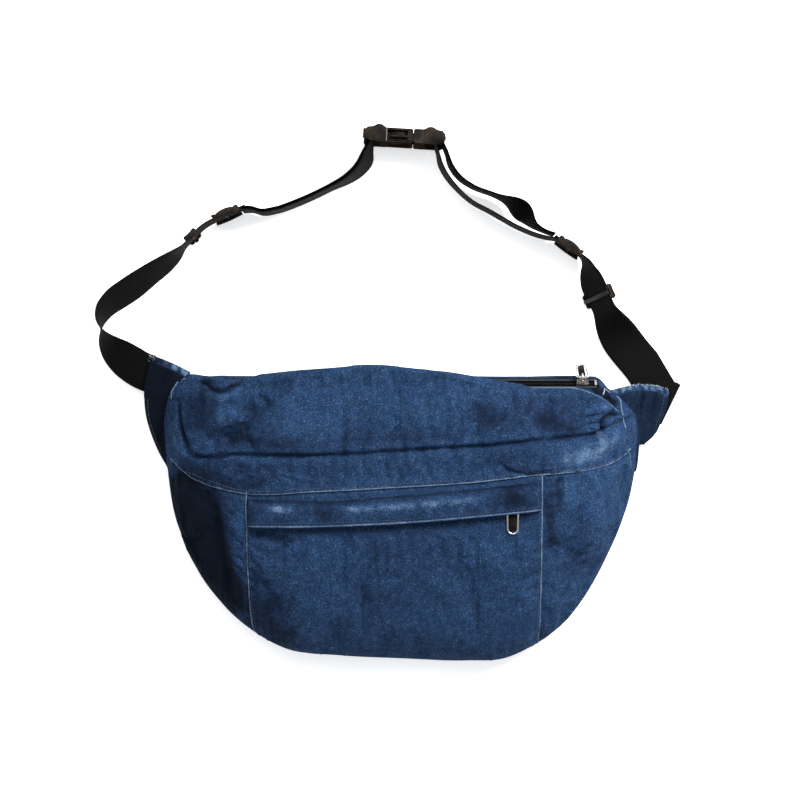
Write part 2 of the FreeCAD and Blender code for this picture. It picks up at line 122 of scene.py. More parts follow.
class Nodes:
    """Short names for building one node material."""

    def __init__(self, name):
        self.material = bpy.data.materials.new(name)
        self.material.use_nodes = True
        self.tree = self.material.node_tree
        self.shader = self.tree.nodes["Principled BSDF"]

    def node(self, kind, **settings):
        made = self.tree.nodes.new(kind)
        for key, value in settings.items():
            if key in made.inputs.keys():
                made.inputs[key].default_value = value
            else:
                setattr(made, key, value)
        return made

    def link(self, source, target):
        self.tree.links.new(source, target)

    def feed(self, value, target):
        """Set an input to a number or a colour, or link another node's output to it."""
        if isinstance(value, (int, float)):
            target.default_value = value
        elif isinstance(value, tuple):
            target.default_value = value + (1.0,)
        else:
            self.link(value, target)

    def coordinates(self, kind, scale=(1.0, 1.0, 1.0)):
        """Object or UV coordinates in metres, stretched by scale."""
        source = self.node("ShaderNodeTexCoord")
        mapping = self.node("ShaderNodeMapping")
        mapping.inputs["Scale"].default_value = scale
        self.link(source.outputs[kind], mapping.inputs["Vector"])
        return mapping.outputs["Vector"]

    def noise(self, vector, scale, detail=3.0, roughness=0.55):
        made = self.node("ShaderNodeTexNoise", Scale=scale, Detail=detail, Roughness=roughness)
        self.link(vector, made.inputs["Vector"])
        return made.outputs["Fac"]

    def ramp(self, value, low, high, out_low=0.0, out_high=1.0):
        made = self.node("ShaderNodeMapRange", interpolation_type="SMOOTHSTEP")
        for key, limit in {"From Min": low, "From Max": high, "To Min": out_low, "To Max": out_high}.items():
            made.inputs[key].default_value = limit
        self.link(value, made.inputs["Value"])
        return made.outputs["Result"]

    def math(self, operation, first, second):
        made = self.node("ShaderNodeMath", operation=operation)
        for value, target in zip((first, second), made.inputs):
            self.feed(value, target)
        return made.outputs["Value"]

    def times(self, first, second):
        return self.math("MULTIPLY", first, second)

    def plus(self, first, second):
        return self.math("ADD", first, second)

    def mix(self, factor, first, second):
        made = self.node("ShaderNodeMix", data_type="RGBA")
        for value, number in ((factor, 0), (first, 6), (second, 7)):     # the colour sockets of a Mix node
            self.feed(value, made.inputs[number])
        return made.outputs[2]

    def attribute(self, name):
        return self.node("ShaderNodeAttribute", attribute_name=name).outputs["Fac"]

    def wave(self, direction, scale, distortion, detail, detail_scale=1.0):
        made = self.node("ShaderNodeTexWave", wave_type="BANDS", bands_direction=direction, Scale=scale,
                         Distortion=distortion, Detail=detail)
        made.inputs["Detail Scale"].default_value = detail_scale
        self.link(self.coordinates("UV"), made.inputs["Vector"])
        return made.outputs["Fac"]

    def bump(self, height, strength, distance):
        made = self.node("ShaderNodeBump", Strength=strength, Distance=distance)
        self.link(height, made.inputs["Height"])
        self.link(made.outputs["Normal"], self.shader.inputs["Normal"])

    def finish(self, colour, roughness, **constants):
        self.feed(colour, self.shader.inputs["Base Color"])
        self.feed(roughness, self.shader.inputs["Roughness"])
        for key, value in constants.items():
            self.shader.inputs[key.replace("_", " ")].default_value = value
        return self.material


def denim(name, shade_colour, dark, mid, light):
    """Washed indigo twill: white weft flecks, slubs, broad fading and worn raised edges; the shade attribute
    paints shade on it, down to a near-black blue.
    """
    n = Nodes(name)
    space = n.coordinates("Object")
    twill = n.wave("DIAGONAL", 560.0, 2.5, 2.0, 2.0)
    fade, shade = n.attribute("fade"), n.attribute("shade")
    fleck = n.noise(space, 900.0, 3.0, 0.7)
    slub = n.noise(n.coordinates("UV", (1.0, 0.12, 1.0)), 330.0, 2.0, 0.6)
    mottle = n.noise(space, 150.0, 5.0, 0.7)
    cloud = n.noise(space, 11.0, 3.0, 0.55)
    tone = n.plus(n.times(n.ramp(mottle, 0.3, 0.7), 0.34), n.times(n.ramp(cloud, 0.3, 0.7), 0.14))
    tone = n.plus(n.plus(tone, 0.22), n.times(fade, 0.55))
    # Painted shade: the shade attribute darkens the tone.
    tone = n.math("SUBTRACT", tone, n.times(shade, 0.62))
    colour = n.mix(n.ramp(tone, -0.1, 0.95), dark, mid)
    rubbed = n.times(n.ramp(fade, 0.25, 1.1, 0.0, 0.85), n.ramp(fleck, 0.34, 0.60, 0.35, 1.0))
    colour = n.mix(rubbed, colour, light)
    weft = n.times(n.ramp(fleck, 0.52, 0.76), n.ramp(slub, 0.30, 0.66, 0.45, 1.0))
    weft = n.times(weft, n.ramp(tone, -0.1, 0.9, 0.12, 1.0))
    colour = n.mix(weft, colour, light)
    warp = n.ramp(fleck, 0.50, 0.32, 0.0, 0.92)
    colour = n.mix(warp, colour, dark)
    colour = n.mix(n.ramp(twill, 0.2, 0.8, 0.30, 0.0), colour, dark)
    # Painted shade: strong shade turns the colour to a near-black blue.
    colour = n.mix(n.ramp(shade, 0.45, 1.15, 0.0, 0.86), colour, shade_colour)
    height = n.plus(n.times(twill, 0.5), n.times(fleck, 0.8))
    height = n.plus(height, n.times(mottle, 1.2))
    n.bump(height, 0.6, 0.0006)
    return n.finish(colour, 0.94, Specular_IOR_Level=0.05)


def thread(name, colour):
    n = Nodes(name)
    space = n.coordinates("Object")
    shade = n.ramp(n.noise(space, 260.0, 2.0), 0.3, 0.7)
    dim = tuple(0.45 * c for c in colour)
    n.bump(n.noise(space, 2600.0, 1.0), 0.4, 0.0002)
    return n.finish(n.mix(shade, dim, colour), 0.7)


def webbing_cloth(name):
    """Heavy nylon webbing: crosswise ribs with a finer herringbone of yarns."""
    n = Nodes(name)
    worn = n.noise(n.coordinates("Object"), 60.0, 4.0)
    rib = n.times(n.wave("Y", 150.0, 0.4, 1.0), n.ramp(n.wave("X", 210.0, 0.8, 1.0), 0.0, 1.0, 0.55, 1.0))
    shade = n.times(n.ramp(rib, 0.1, 0.9, 0.25, 1.0), n.ramp(worn, 0.3, 0.7, 0.75, 1.0))
    colour = n.mix(shade, (0.0018, 0.0019, 0.0017), (0.0074, 0.0078, 0.0070))
    n.bump(rib, 0.6, 0.0004)
    return n.finish(colour, n.ramp(worn, 0.3, 0.7, 0.66, 0.78), Specular_IOR_Level=0.025)


def plain_cloth(name, low, high):
    n = Nodes(name)
    weave = n.node("ShaderNodeTexChecker", Scale=1500.0)
    n.link(n.coordinates("UV"), weave.inputs["Vector"])
    uneven = n.noise(n.coordinates("Object"), 90.0, 3.0)
    colour = n.mix(n.ramp(uneven, 0.3, 0.7), low, high)
    n.bump(weave.outputs["Fac"], 0.35, 0.0002)
    return n.finish(colour, 0.8, Sheen_Weight=0.08)


def moulded_plastic(name, low, high):
    """Black acetal: fine spark-eroded grain, slightly shinier where it is handled."""
    n = Nodes(name)
    space = n.coordinates("Object")
    grain = n.noise(space, 1900.0, 2.0, 0.6)
    wear = n.noise(space, 70.0, 4.0, 0.6)
    colour = n.mix(n.ramp(wear, 0.35, 0.7), low, high)
    n.bump(grain, 0.25, 0.0001)
    facing = n.node("ShaderNodeLayerWeight", Blend=0.5).outputs["Facing"]
    n.link(n.ramp(facing, 0.45, 0.85, 0.08, 0.0), n.shader.inputs["Specular IOR Level"])
    return n.finish(colour, n.ramp(wear, 0.3, 0.7, 0.30, 0.44))


def plated_metal(name, colour, low, high):
    n = Nodes(name)
    space = n.coordinates("Object")
    smear = n.noise(space, 420.0, 3.0, 0.6)
    dim = tuple(0.6 * c for c in colour)
    n.bump(n.noise(space, 1500.0, 2.0), 0.12, 0.0001)
    return n.finish(n.mix(n.ramp(smear, 0.35, 0.75), colour, dim),
                    n.ramp(smear, 0.3, 0.7, low, high), Metallic=1.0)


# A near-black blue for painted shade.
PAINTED_SHADE_BLUE = (0.0032, 0.0055, 0.0095)
DARK_BLUE = (0.006, 0.012, 0.030)
MID_BLUE = (0.0195, 0.0590, 0.149)
PALE_BLUE = (0.20, 0.29, 0.42)
DENIM = denim("denim", PAINTED_SHADE_BLUE, DARK_BLUE, MID_BLUE, PALE_BLUE)
STITCH = thread("stitch_thread", (0.42, 0.50, 0.60))
DARK_STITCH = thread("dark_thread", (0.035, 0.05, 0.09))
WEBBING = webbing_cloth("nylon_webbing")
INLAY = moulded_plastic("black_inlay", (0.004, 0.004, 0.004), (0.010, 0.009, 0.008))
ZIP_TAPE = plain_cloth("zip_tape", (0.004, 0.005, 0.009), (0.010, 0.012, 0.020))
LINING = plain_cloth("lining", (0.010, 0.011, 0.015), (0.020, 0.022, 0.030))
COIL = moulded_plastic("zip_coil_plastic", (0.0040, 0.0042, 0.0050), (0.012, 0.012, 0.014))
PLASTIC = moulded_plastic("black_acetal", (0.0040, 0.0031, 0.0025), (0.0260, 0.0175, 0.0120))
# A pale grey for a painted highlight on the buckle.
HIGHLIGHT_GREY = moulded_plastic("painted_highlight_acetal", (0.10, 0.10, 0.10), (0.26, 0.26, 0.25))
SLIDER_METAL = plated_metal("slider_plating", (0.42, 0.40, 0.38), 0.20, 0.36)
WIRE_METAL = plated_metal("wire_plating", (0.70, 0.67, 0.62), 0.10, 0.24)

# ---- curves and meshes --------------------------------------------------------------------

def spline(knots, at):
    """A smooth curve through knots, each a place and its values, read at other places."""
    knots = np.asarray(knots, float)
    x, y = knots[:, 0], knots[:, 1:]
    step = np.diff(x)
    slope = np.diff(y, axis=0) / step[:, None]
    inner = (slope[:-1] * step[1:, None] + slope[1:] * step[:-1, None]) / (step[1:] + step[:-1])[:, None]
    tangent = np.vstack([slope[:1], inner, slope[-1:]])
    at = np.clip(np.asarray(at, float), x[0], x[-1])
    i = np.clip(np.searchsorted(x, at, side="right") - 1, 0, len(step) - 1)
    t = ((at - x[i]) / step[i])[..., None]
    h = step[i][..., None]
    value = ((2 * t**3 - 3 * t**2 + 1) * y[i] + (t**3 - 2 * t**2 + t) * h * tangent[i]
             + (3 * t**2 - 2 * t**3) * y[i + 1] + (t**3 - t**2) * h * tangent[i + 1])
    return value[..., 0] if value.shape[-1] == 1 else value


def lengths(points):
    """Distance run along a line of points, from 0 at its start."""
    steps = np.linalg.norm(np.diff(points, axis=0), axis=1)
    return np.concatenate([[0.0], np.cumsum(steps)])


def read_at(places, run, line):
    """Points of a line at distances along it; run is the distance of each of its own points."""
    return np.column_stack([np.interp(places, run, line[:, k]) for k in range(line.shape[1])])


def evenly(line, count):
    """As many points as asked for, evenly spaced along a line."""
    run = lengths(line)
    return read_at(np.linspace(0, run[-1], count), run, line)


def smooth_line(points, spacing):
    """Evenly spaced points on the smooth curve through a few points."""
    points = np.asarray(points, float)
    rough = lengths(points)
    dense = spline(np.column_stack([rough, points]), np.linspace(0, rough[-1], 60 * len(points)))
    return evenly(dense, max(2, int(round(lengths(dense)[-1] / spacing)) + 1))


def unit(vectors):
    return vectors / np.linalg.norm(vectors, axis=-1, keepdims=True)


def relaxed(values, passes):
    """Values along a line, each drawn towards its neighbours; the two ends stay."""
    for _ in range(passes):
        values[1:-1] = (values[:-2] + 2 * values[1:-1] + values[2:]) / 4
    return values


def smoothstep(value, low, high):
    t = np.clip((np.asarray(value, float) - low) / (high - low), 0, 1)
    return t * t * (3 - 2 * t)


def window(value, low, full, still_full, gone):
    """Rises from 0 at low to 1 at full, and falls again from still_full to gone."""
    return smoothstep(value, low, full) * (1 - smoothstep(value, still_full, gone))


def ring(count):
    """Evenly spaced angles of a full turn."""
    return np.linspace(0, 2 * math.pi, count, endpoint=False)


def uv_grid(first, second):
    """A UV place for each point of a grid, from one value for each row and one for each column."""
    return np.stack(np.broadcast_arrays(first[:, None], second[None]), axis=2).reshape(-1, 2)


def grid_normals(grid):
    """Unit normals of a grid of points, rows by columns, pointing out of the pack."""
    down = np.gradient(grid, axis=0)
    along = np.gradient(grid, axis=1)
    normal = np.cross(along, down)
    return normal / np.maximum(np.linalg.norm(normal, axis=2, keepdims=True), 1e-9)


def closed_normals(grid):
    """Normals of a grid whose last row meets its first."""
    return grid_normals(np.concatenate([grid[-1:], grid, grid[:1]], axis=0))[1:-1]


def grid_faces(rows, columns, wrap=False, offset=0, flip=False):
    index = np.arange(rows * columns).reshape(rows, columns) + offset
    if wrap:
        index = np.vstack([index, index[:1]])
    a, b, c, d = index[:-1, :-1], index[:-1, 1:], index[1:, 1:], index[1:, :-1]
    quads = np.stack([a, b, c, d], axis=-1).reshape(-1, 4)
    return quads[:, ::-1] if flip else quads


def end_caps(rows, columns):
    """The two faces that close a tube of rows round it and columns along it."""
    start = [row * columns for row in range(rows)]
    return [start, [corner + columns - 1 for corner in start[::-1]]]


def tree_of(grid):
    """A grid's surface, for rays to be cast on."""
    return BVHTree.FromPolygons(grid.reshape(-1, 3).tolist(), grid_faces(*grid.shape[:2]).tolist())


def make_mesh(name, points, faces, material, body="pack", uv=None, values=None, nodes=()):
    """One piece in the frame: its mesh, its material, the body it rides on and what it stands for."""
    mesh = bpy.data.meshes.new(name)
    points = np.asarray(points, float)
    if isinstance(faces, np.ndarray):
        faces = faces.tolist()
    mesh.from_pydata((points * MM).tolist(), [], faces)
    mesh.materials.append(material)
    mesh.polygons.foreach_set("use_smooth", [True] * len(mesh.polygons))
    layer = mesh.uv_layers.new(name="UVMap")
    loop_points = np.empty(len(mesh.loops), int)
    mesh.loops.foreach_get("vertex_index", loop_points)
    flat = points[:, :2] if uv is None else np.asarray(uv, float)
    layer.data.foreach_set("uv", (flat[loop_points] * MM).ravel())
    for key, value in (values or {}).items():
        attribute = mesh.attributes.new(name=key, type="FLOAT", domain="POINT")
        attribute.data.foreach_set("value", np.asarray(value, float).ravel())
    mesh.update()
    obj = place(bpy.data.objects.new(name, mesh))
    if body:
        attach(obj, body)
    if nodes:
        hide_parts(*nodes)
    return obj


SHEET_SIZES = {}


def cloth(piece, layers):
    """Declare a piece as a sheet: its layers are grids that were cut flat, in millimetres."""
    area, width, length = 0.0, 0.0, 0.0
    for grid in layers:
        a, b, c, d = grid[:-1, :-1], grid[:-1, 1:], grid[1:, 1:], grid[1:, :-1]
        area += 0.5 * np.linalg.norm(np.cross(c - a, d - b), axis=2).sum()
        width = max(width, np.linalg.norm(np.diff(grid, axis=1), axis=2).sum(1).max())
        length += np.linalg.norm(np.diff(grid, axis=0), axis=2).sum(0).max()
    area = min(area, width * length)
    SHEET_SIZES[piece.name] = [round(width), round(length)]


def joined(parts):
    """Several (points, faces) made into one set of points and faces."""
    points, faces, start = [], [], 0
    for some_points, some_faces in parts:
        points.append(np.asarray(some_points, float))
        faces.extend([[v + start for v in face] for face in some_faces])
        start += len(some_points)
    return np.vstack(points), faces


def thick_sheet(grid, normal, thickness):
    """A closed sheet: the grid, a copy pushed inwards, and the rim between them."""
    rows, columns = grid.shape[:2]
    count = rows * columns
    under = grid - normal * thickness
    points = np.vstack([grid.reshape(-1, 3), under.reshape(-1, 3)])
    top = grid_faces(rows, columns, flip=True)
    bottom = grid_faces(rows, columns, offset=count)
    index = np.arange(count).reshape(rows, columns)
    border = np.concatenate([index[0, :], index[1:, -1], index[-1, -2::-1], index[-2:0:-1, 0]])
    after = np.roll(border, -1)
    rim = np.stack([border, after, after + count, border + count], axis=1)
    return points, np.vstack([top, bottom, rim])


# ---- form of the pack ---------------------------------------------------------------------

LEFT_END, RIGHT_END = -226.0, 222.0
SEAM_LEFT, SEAM_RIGHT = -143.0, 128.0
SEAM_HEIGHT = 12.0
# Outline: lowest Y of the body at each X, and its highest.
LOWEST = [(-226, 62), (-221, 22), (-210, -19), (-195, -50), (-172, -81), (-140, -109), (-112, -124),
          (-60, -131), (0, -134), (62, -136), (98, -133.5), (120, -124), (142, -110), (160, -93),
          (180, -65), (196, -35), (210, -3), (218, 22), (222, 42)]
HIGHEST = [(-226, 118), (-217, 131), (-200, 135.5), (-188, 134), (-168, 133), (-130, 133), (-29, 134.5),
           (46, 133.5), (114, 132), (148, 133.5), (172, 132), (190, 125), (211, 112), (222, 104)]
# How far back the puffed upper edge of the front rolls over the zip.
ROLL = [(-226, 122), (-200, 129), (-187, 131.5), (-168, 130.5), (-152, 130), (-141, 132), (-130, 134.5),
        (-111, 137), (-70, 140.5), (-29, 142.5), (10, 140), (46, 136.5), (75, 131.5), (96, 127.5), (112, 126),
        (222, 126)]
ROLL_FADE = (106, 136)       # X over which the roll gives way to the open edge
HEIGHT = [(-226, 20), (-217, 36), (-200, 54), (-172, 71), (-143, 81), (-105, 87), (-50, 88), (60, 88),
          (128, 87), (150, 83), (170, 75), (190, 62), (211, 43), (222, 26)]
# Height of the front as part of the whole, at parts of the way from lowest to highest Y.
FRONT = [(0.0, 0.24), (0.03, 0.46), (0.07, 0.58), (0.13, 0.69), (0.22, 0.80), (0.32, 0.88), (0.46, 0.955),
         (0.60, 0.995), (0.72, 0.99), (0.82, 0.93), (0.90, 0.82), (0.965, 0.61), (1.0, 0.38)]
# The same past the ends of the zip, where the cloth is closed. The last two stand for the zip's edges.
BEYOND_ZIP = [(0.89, 0.84), (0.92, 0.78), (0.95, 0.70), (0.965, 0.64), (0.97, 0.60), (0.98, 0.56),
              (0.99, 0.47)]
# Y and Z of the front's edge where it lies open beside the zip.
OPEN_EDGE = [(108.0, 73.0), (113.0, 70.5), (116.5, 68.0), (119.0, 66.0), (120.6, 64.2)]
YOKE_SEAM = [(-226, 62), (-199, 41), (-150, 26), (-78, 27.5), (-2, 31.5), (66, 36), (123, 42.5),
             (165, 46), (183, 49), (202, 56), (222, 70)]
CREASE = [(-226, 92), (-207, 73), (-198, 63.5), (-147, 61.5), (-80, 60.5), (16, 66), (82, 70), (131, 75),
          (165, 78), (183, 82), (200, 90), (222, 96)]
ZIP_Y, ZIP_Z, ZIP_TILT = 126.5, 56.0, math.radians(48.0)
ZIP_START, ZIP_STOP = -166.0, 182.0
ZIP_HALF = 7.0               # half of the gap between the folded denim edges
ZIP_OUT = np.array([0.0, math.sin(ZIP_TILT), math.cos(ZIP_TILT)])
ZIP_BACK = np.array([0.0, math.cos(ZIP_TILT), -math.sin(ZIP_TILT)])
MAIN_FRAME = (np.array([0.0, ZIP_Y, ZIP_Z]), ZIP_BACK, ZIP_OUT)
ROWS = {"under": 6, "front": 124, "band": 28, "top": 54, "zip": 8, "back_top": 28, "turn": 6, "back": 38}
COLUMNS = (84, 196, 92)
END_EASE = 0.75              # how much closer the columns stand at the two ends
PROFILE_POINTS = 900
FULL_DEPTH = 180.0           # below this depth the rounding at the floor is made smaller


def in_zip(zip_frame, x, across, out):
    """Points in a zip's own frame: across is towards the back, out is out of its face."""
    origin, back, outward = zip_frame
    x, across, out = np.broadcast_arrays(np.asarray(x, float), across, out)
    along = np.multiply.outer(x, [1.0, 0, 0])
    return origin + along + np.multiply.outer(across, back) + np.multiply.outer(out, outward)


def column_rows(x):
    """The rows of one cross-section of the smooth form, from the floor round the front and back."""
    low, high, height = (float(spline(k, x)) for k in (LOWEST, HIGHEST, HEIGHT))
    depth = high - low
    near_zip = float(window(x, ZIP_START - 26, ZIP_START - 2, ZIP_STOP - 4, ZIP_STOP + 16))
    small = min(1.0, depth / FULL_DEPTH)
    points = [(low + 15 * small, 0.0), (low + 3 * small, 0.09 * height)]
    points += [(low + s * depth, height * f) for s, f in FRONT if s < 0.76]
    rolled = near_zip * float(1 - smoothstep(x, *ROLL_FADE))
    reach = float(spline(ROLL, x))
    free = [(low + s * depth, height * f) for s, f in BEYOND_ZIP[:5]]
    roll = [(reach - 12, 82.5), (reach - 3, 78.5), (reach, 73.0), (reach - 3.6, 68.6),
            (min(125.5, reach - 5), 65.8)]
    for f, o, r in zip(free, OPEN_EDGE, roll):
        shut = np.array(o) * (1 - rolled) + np.array(r) * rolled
        points.append(tuple(np.array(f) * (1 - near_zip) + shut * near_zip))
    free = [(low + s * depth, height * f) for s, f in BEYOND_ZIP[5:]]
    held = [in_zip(MAIN_FRAME, x, side * ZIP_HALF, 0.9)[1:] for side in (-1, 1)]
    points += [tuple(np.array(f) * (1 - near_zip) + h * near_zip) for f, h in zip(free, held)]
    points += [(high, 0.35 * height), (high - 1.5 * small, 0.13 * height), (high - 17 * small, 0.0)]
    points = np.array(points)
    run = lengths(points)
    line = spline(np.column_stack([run, points]), np.linspace(0, run[-1], PROFILE_POINTS))
    line[:, 1] = np.maximum(line[:, 1], 0.0)
    run = lengths(line)
    rise = min(SEAM_HEIGHT, 0.45 * height)
    crest = int(np.argmax(line[:, 1]))
    seam_low = np.interp(rise, line[:crest, 1], run[:crest])
    seam_high = np.interp(-rise, -line[crest:, 1], run[crest:])
    widest = int(np.argmin(line[:, 0]))
    top = int(np.argmax(line[:, 0]))
    zip_marks = [run[int(np.argmin(np.linalg.norm(line - mark, axis=1)))] for mark in points[-5:-3]]
    yoke_y = min(max(float(spline(YOKE_SEAM, x)), low + 0.12 * depth), low + 0.7 * depth)
    crease_y = min(max(float(spline(CREASE, x)), yoke_y + 0.06 * depth), low + 0.86 * depth)
    yoke = np.interp(yoke_y, line[widest:top, 0], run[widest:top])
    crease = np.interp(crease_y, line[widest:top, 0], run[widest:top])
    marks = [0.0, seam_low, yoke, crease, zip_marks[0], zip_marks[1], seam_high, run[-1]]
    places = []
    for (start, stop), count in zip(zip(marks[:-1], marks[1:]), ROWS.values()):
        places.extend(np.linspace(start, stop, count, endpoint=False))
    places = np.array(places)
    y = np.interp(places, run, line[:, 0])
    z = np.interp(places, run, line[:, 1])
    back = np.linspace(line[-1], line[0], ROWS["back"] + 1)[:-1]
    y, z = np.concatenate([y, back[:, 0]]), np.concatenate([z, back[:, 1]])
    return np.column_stack([np.full(len(y), x), y, z])


def eased(start, stop, count, ease):
    """Places from start to stop, drawn closer together near start by ease."""
    t = np.linspace(0, 1, count, endpoint=False)
    return start + (stop - start) * (t * (1 - ease) + ease * t * t)


def body_form():
    """The smooth form of the whole pack as a grid: rows round it, columns along X."""
    left = eased(LEFT_END, SEAM_LEFT, COLUMNS[0], END_EASE)
    middle = np.linspace(SEAM_LEFT, SEAM_RIGHT, COLUMNS[1], endpoint=False)
    right = eased(RIGHT_END, SEAM_RIGHT, COLUMNS[2], END_EASE)[::-1]
    places = np.concatenate([left, middle, [SEAM_RIGHT], right])
    return np.stack([column_rows(x) for x in places], axis=1)


def row_of(name):
    """Number of the first row of a named stretch."""
    return sum(list(ROWS.values())[:list(ROWS).index(name)])


# ---- folds and creases --------------------------------------------------------------------

LINE_STEP = 1.5              # spacing of the points along a stroke


def end_taper(along, ends):
    """0 at both ends of a run from 0 to 1, and 1 over all of it but the share that ends gives."""
    return smoothstep(along, -0.001, ends) * smoothstep(1 - along, -0.001, ends)


class Sculpt:
    """Moves the points of a grid along its normals by strokes drawn in plan."""

    def __init__(self, grid, facing):
        self.plan = grid[..., :2].reshape(-1, 2)
        self.facing = facing.ravel()
        self.move = np.zeros(len(self.plan))
        self.light = np.zeros(len(self.plan))
        self.dark = np.zeros(len(self.plan))

    def near(self, line, reach):
        """For points within reach of a line: which they are, signed distance, and place along it."""
        line = np.asarray(line, float)
        low, high = line.min(0) - reach, line.max(0) + reach
        inside = np.all((self.plan > low) & (self.plan < high), axis=1)
        chosen = np.flatnonzero(inside & (self.facing > 0.02))
        points = self.plan[chosen]
        gap = np.linalg.norm(points[:, None, :] - line[None, ::2], axis=2)
        close = np.clip(np.argmin(gap, axis=1) * 2, 1, len(line) - 2)
        run = unit(line[close + 1] - line[close - 1])
        offset = points - line[close]
        side = run[:, 0] * offset[:, 1] - run[:, 1] * offset[:, 0]
        distance = np.sqrt(side**2 + np.maximum(np.abs((offset * run).sum(1)) - 2.0, 0)**2)
        return chosen, np.sign(side) * distance, close / (len(line) - 1.0)

    def stroke(self, kind, points, depth, width, ends=0.12, far=None):
        """A groove, ridge or step; a step stands up on the left of its run and dies away over far."""
        line = smooth_line(points, LINE_STEP)
        far = far or 4 * width
        chosen, side, along = self.near(line, 3 * max(width, far if kind == "step" else width))
        taper = end_taper(along, ends)
        if kind == "step":
            shape = np.where(side > 0, np.exp(-np.maximum(side, 0) / far), 0)
            shape = shape * smoothstep(side, -0.5 * width, width)
        else:
            shape = np.exp(-(side / width)**2)
        self.move[chosen] += depth * shape * taper * (self.facing[chosen]**0.5)

    def tint(self, points, light, width, ends=0.15):
        """Paler near a line, as worn dye or painted light; with a negative amount darker there, as painted
        shade.
        """
        line = smooth_line(points, LINE_STEP)
        chosen, side, along = self.near(line, 3 * width)
        taper = end_taper(along, ends)
        amount = np.abs(light) * np.exp(-(side / width)**2) * taper
        target = self.light if light > 0 else self.dark
        target[chosen] += amount

    def puckers(self, points, height, pitch, reach, seed):
        """Small gathers square to a seam, uneven along it."""
        line = smooth_line(points, LINE_STEP)
        chosen, side, along = self.near(line, reach * 2.5)
        run = along * lengths(line)[-1]
        chance = np.random.default_rng(seed)
        places = np.cumsum(pitch * (0.55 + 0.9 * chance.random(int(lengths(line)[-1] / pitch) + 12)))
        size = height * (0.2 + 0.8 * chance.random(len(places)))
        lean = (chance.random(len(places)) - 0.5) * 1.1
        moved = np.zeros(len(chosen))
        for place_at, tall, slant in zip(places, size, lean):
            wave = (run - place_at + slant * side) / (0.36 * pitch)
            moved += tall * np.exp(-wave**2)
        self.move[chosen] += (moved - 0.3 * height) * np.exp(-np.abs(side) / reach) * self.facing[chosen]


def slow_noise(points, scale, seed):
    """Smooth noise between -1 and 1, made of a few crossing waves."""
    chance = np.random.default_rng(seed)
    total = np.zeros(len(points))
    for _ in range(9):
        angle, phase, stretch = chance.random(3) * (2 * math.pi, 2 * math.pi, 1)
        run = points[:, 0] * math.cos(angle) + points[:, 1] * math.sin(angle)
        total += np.sin(run * 2 * math.pi / (scale * (0.6 + 0.9 * stretch)) + phase)
    return total / 4.5


SEAM_UPRIGHT_LEFT = [(-143, 26.5), (-143.6, 12), (-143, -10), (-142.5, -47), (-142, -70), (-141, -90),
                     (-139, -104)]
SEAM_UPRIGHT_RIGHT = [(128, 43), (128, 8), (128, -28), (128, -73), (128, -100), (128, -116)]
WELT_LOWER = [(-141, -5.5), (-107, -5.4), (-73, -4.8), (-38, -3.4), (-2, -1.6), (60, 3.4), (127, 10)]
WELT_UPPER = [(-141, 20.5), (-107, 19), (-73, 18.5), (-2, 23.5), (66, 29.5), (127, 36)]
FRONT_ZIP_EDGE = [(108, 129), (137, 127.5), (157, 122.5), (178, 115.4), (190, 109), (202, 100)]
TOP_LEFT_PINCH = [(-194, 131), (-181, 126), (-176, 121.5), (-168, 119.4), (-161, 121), (-156, 124.6),
                  (-146, 130)]
BAND_FOLD = [(88, 53), (98, 47), (108, 44), (123, 44), (140, 46.5)]

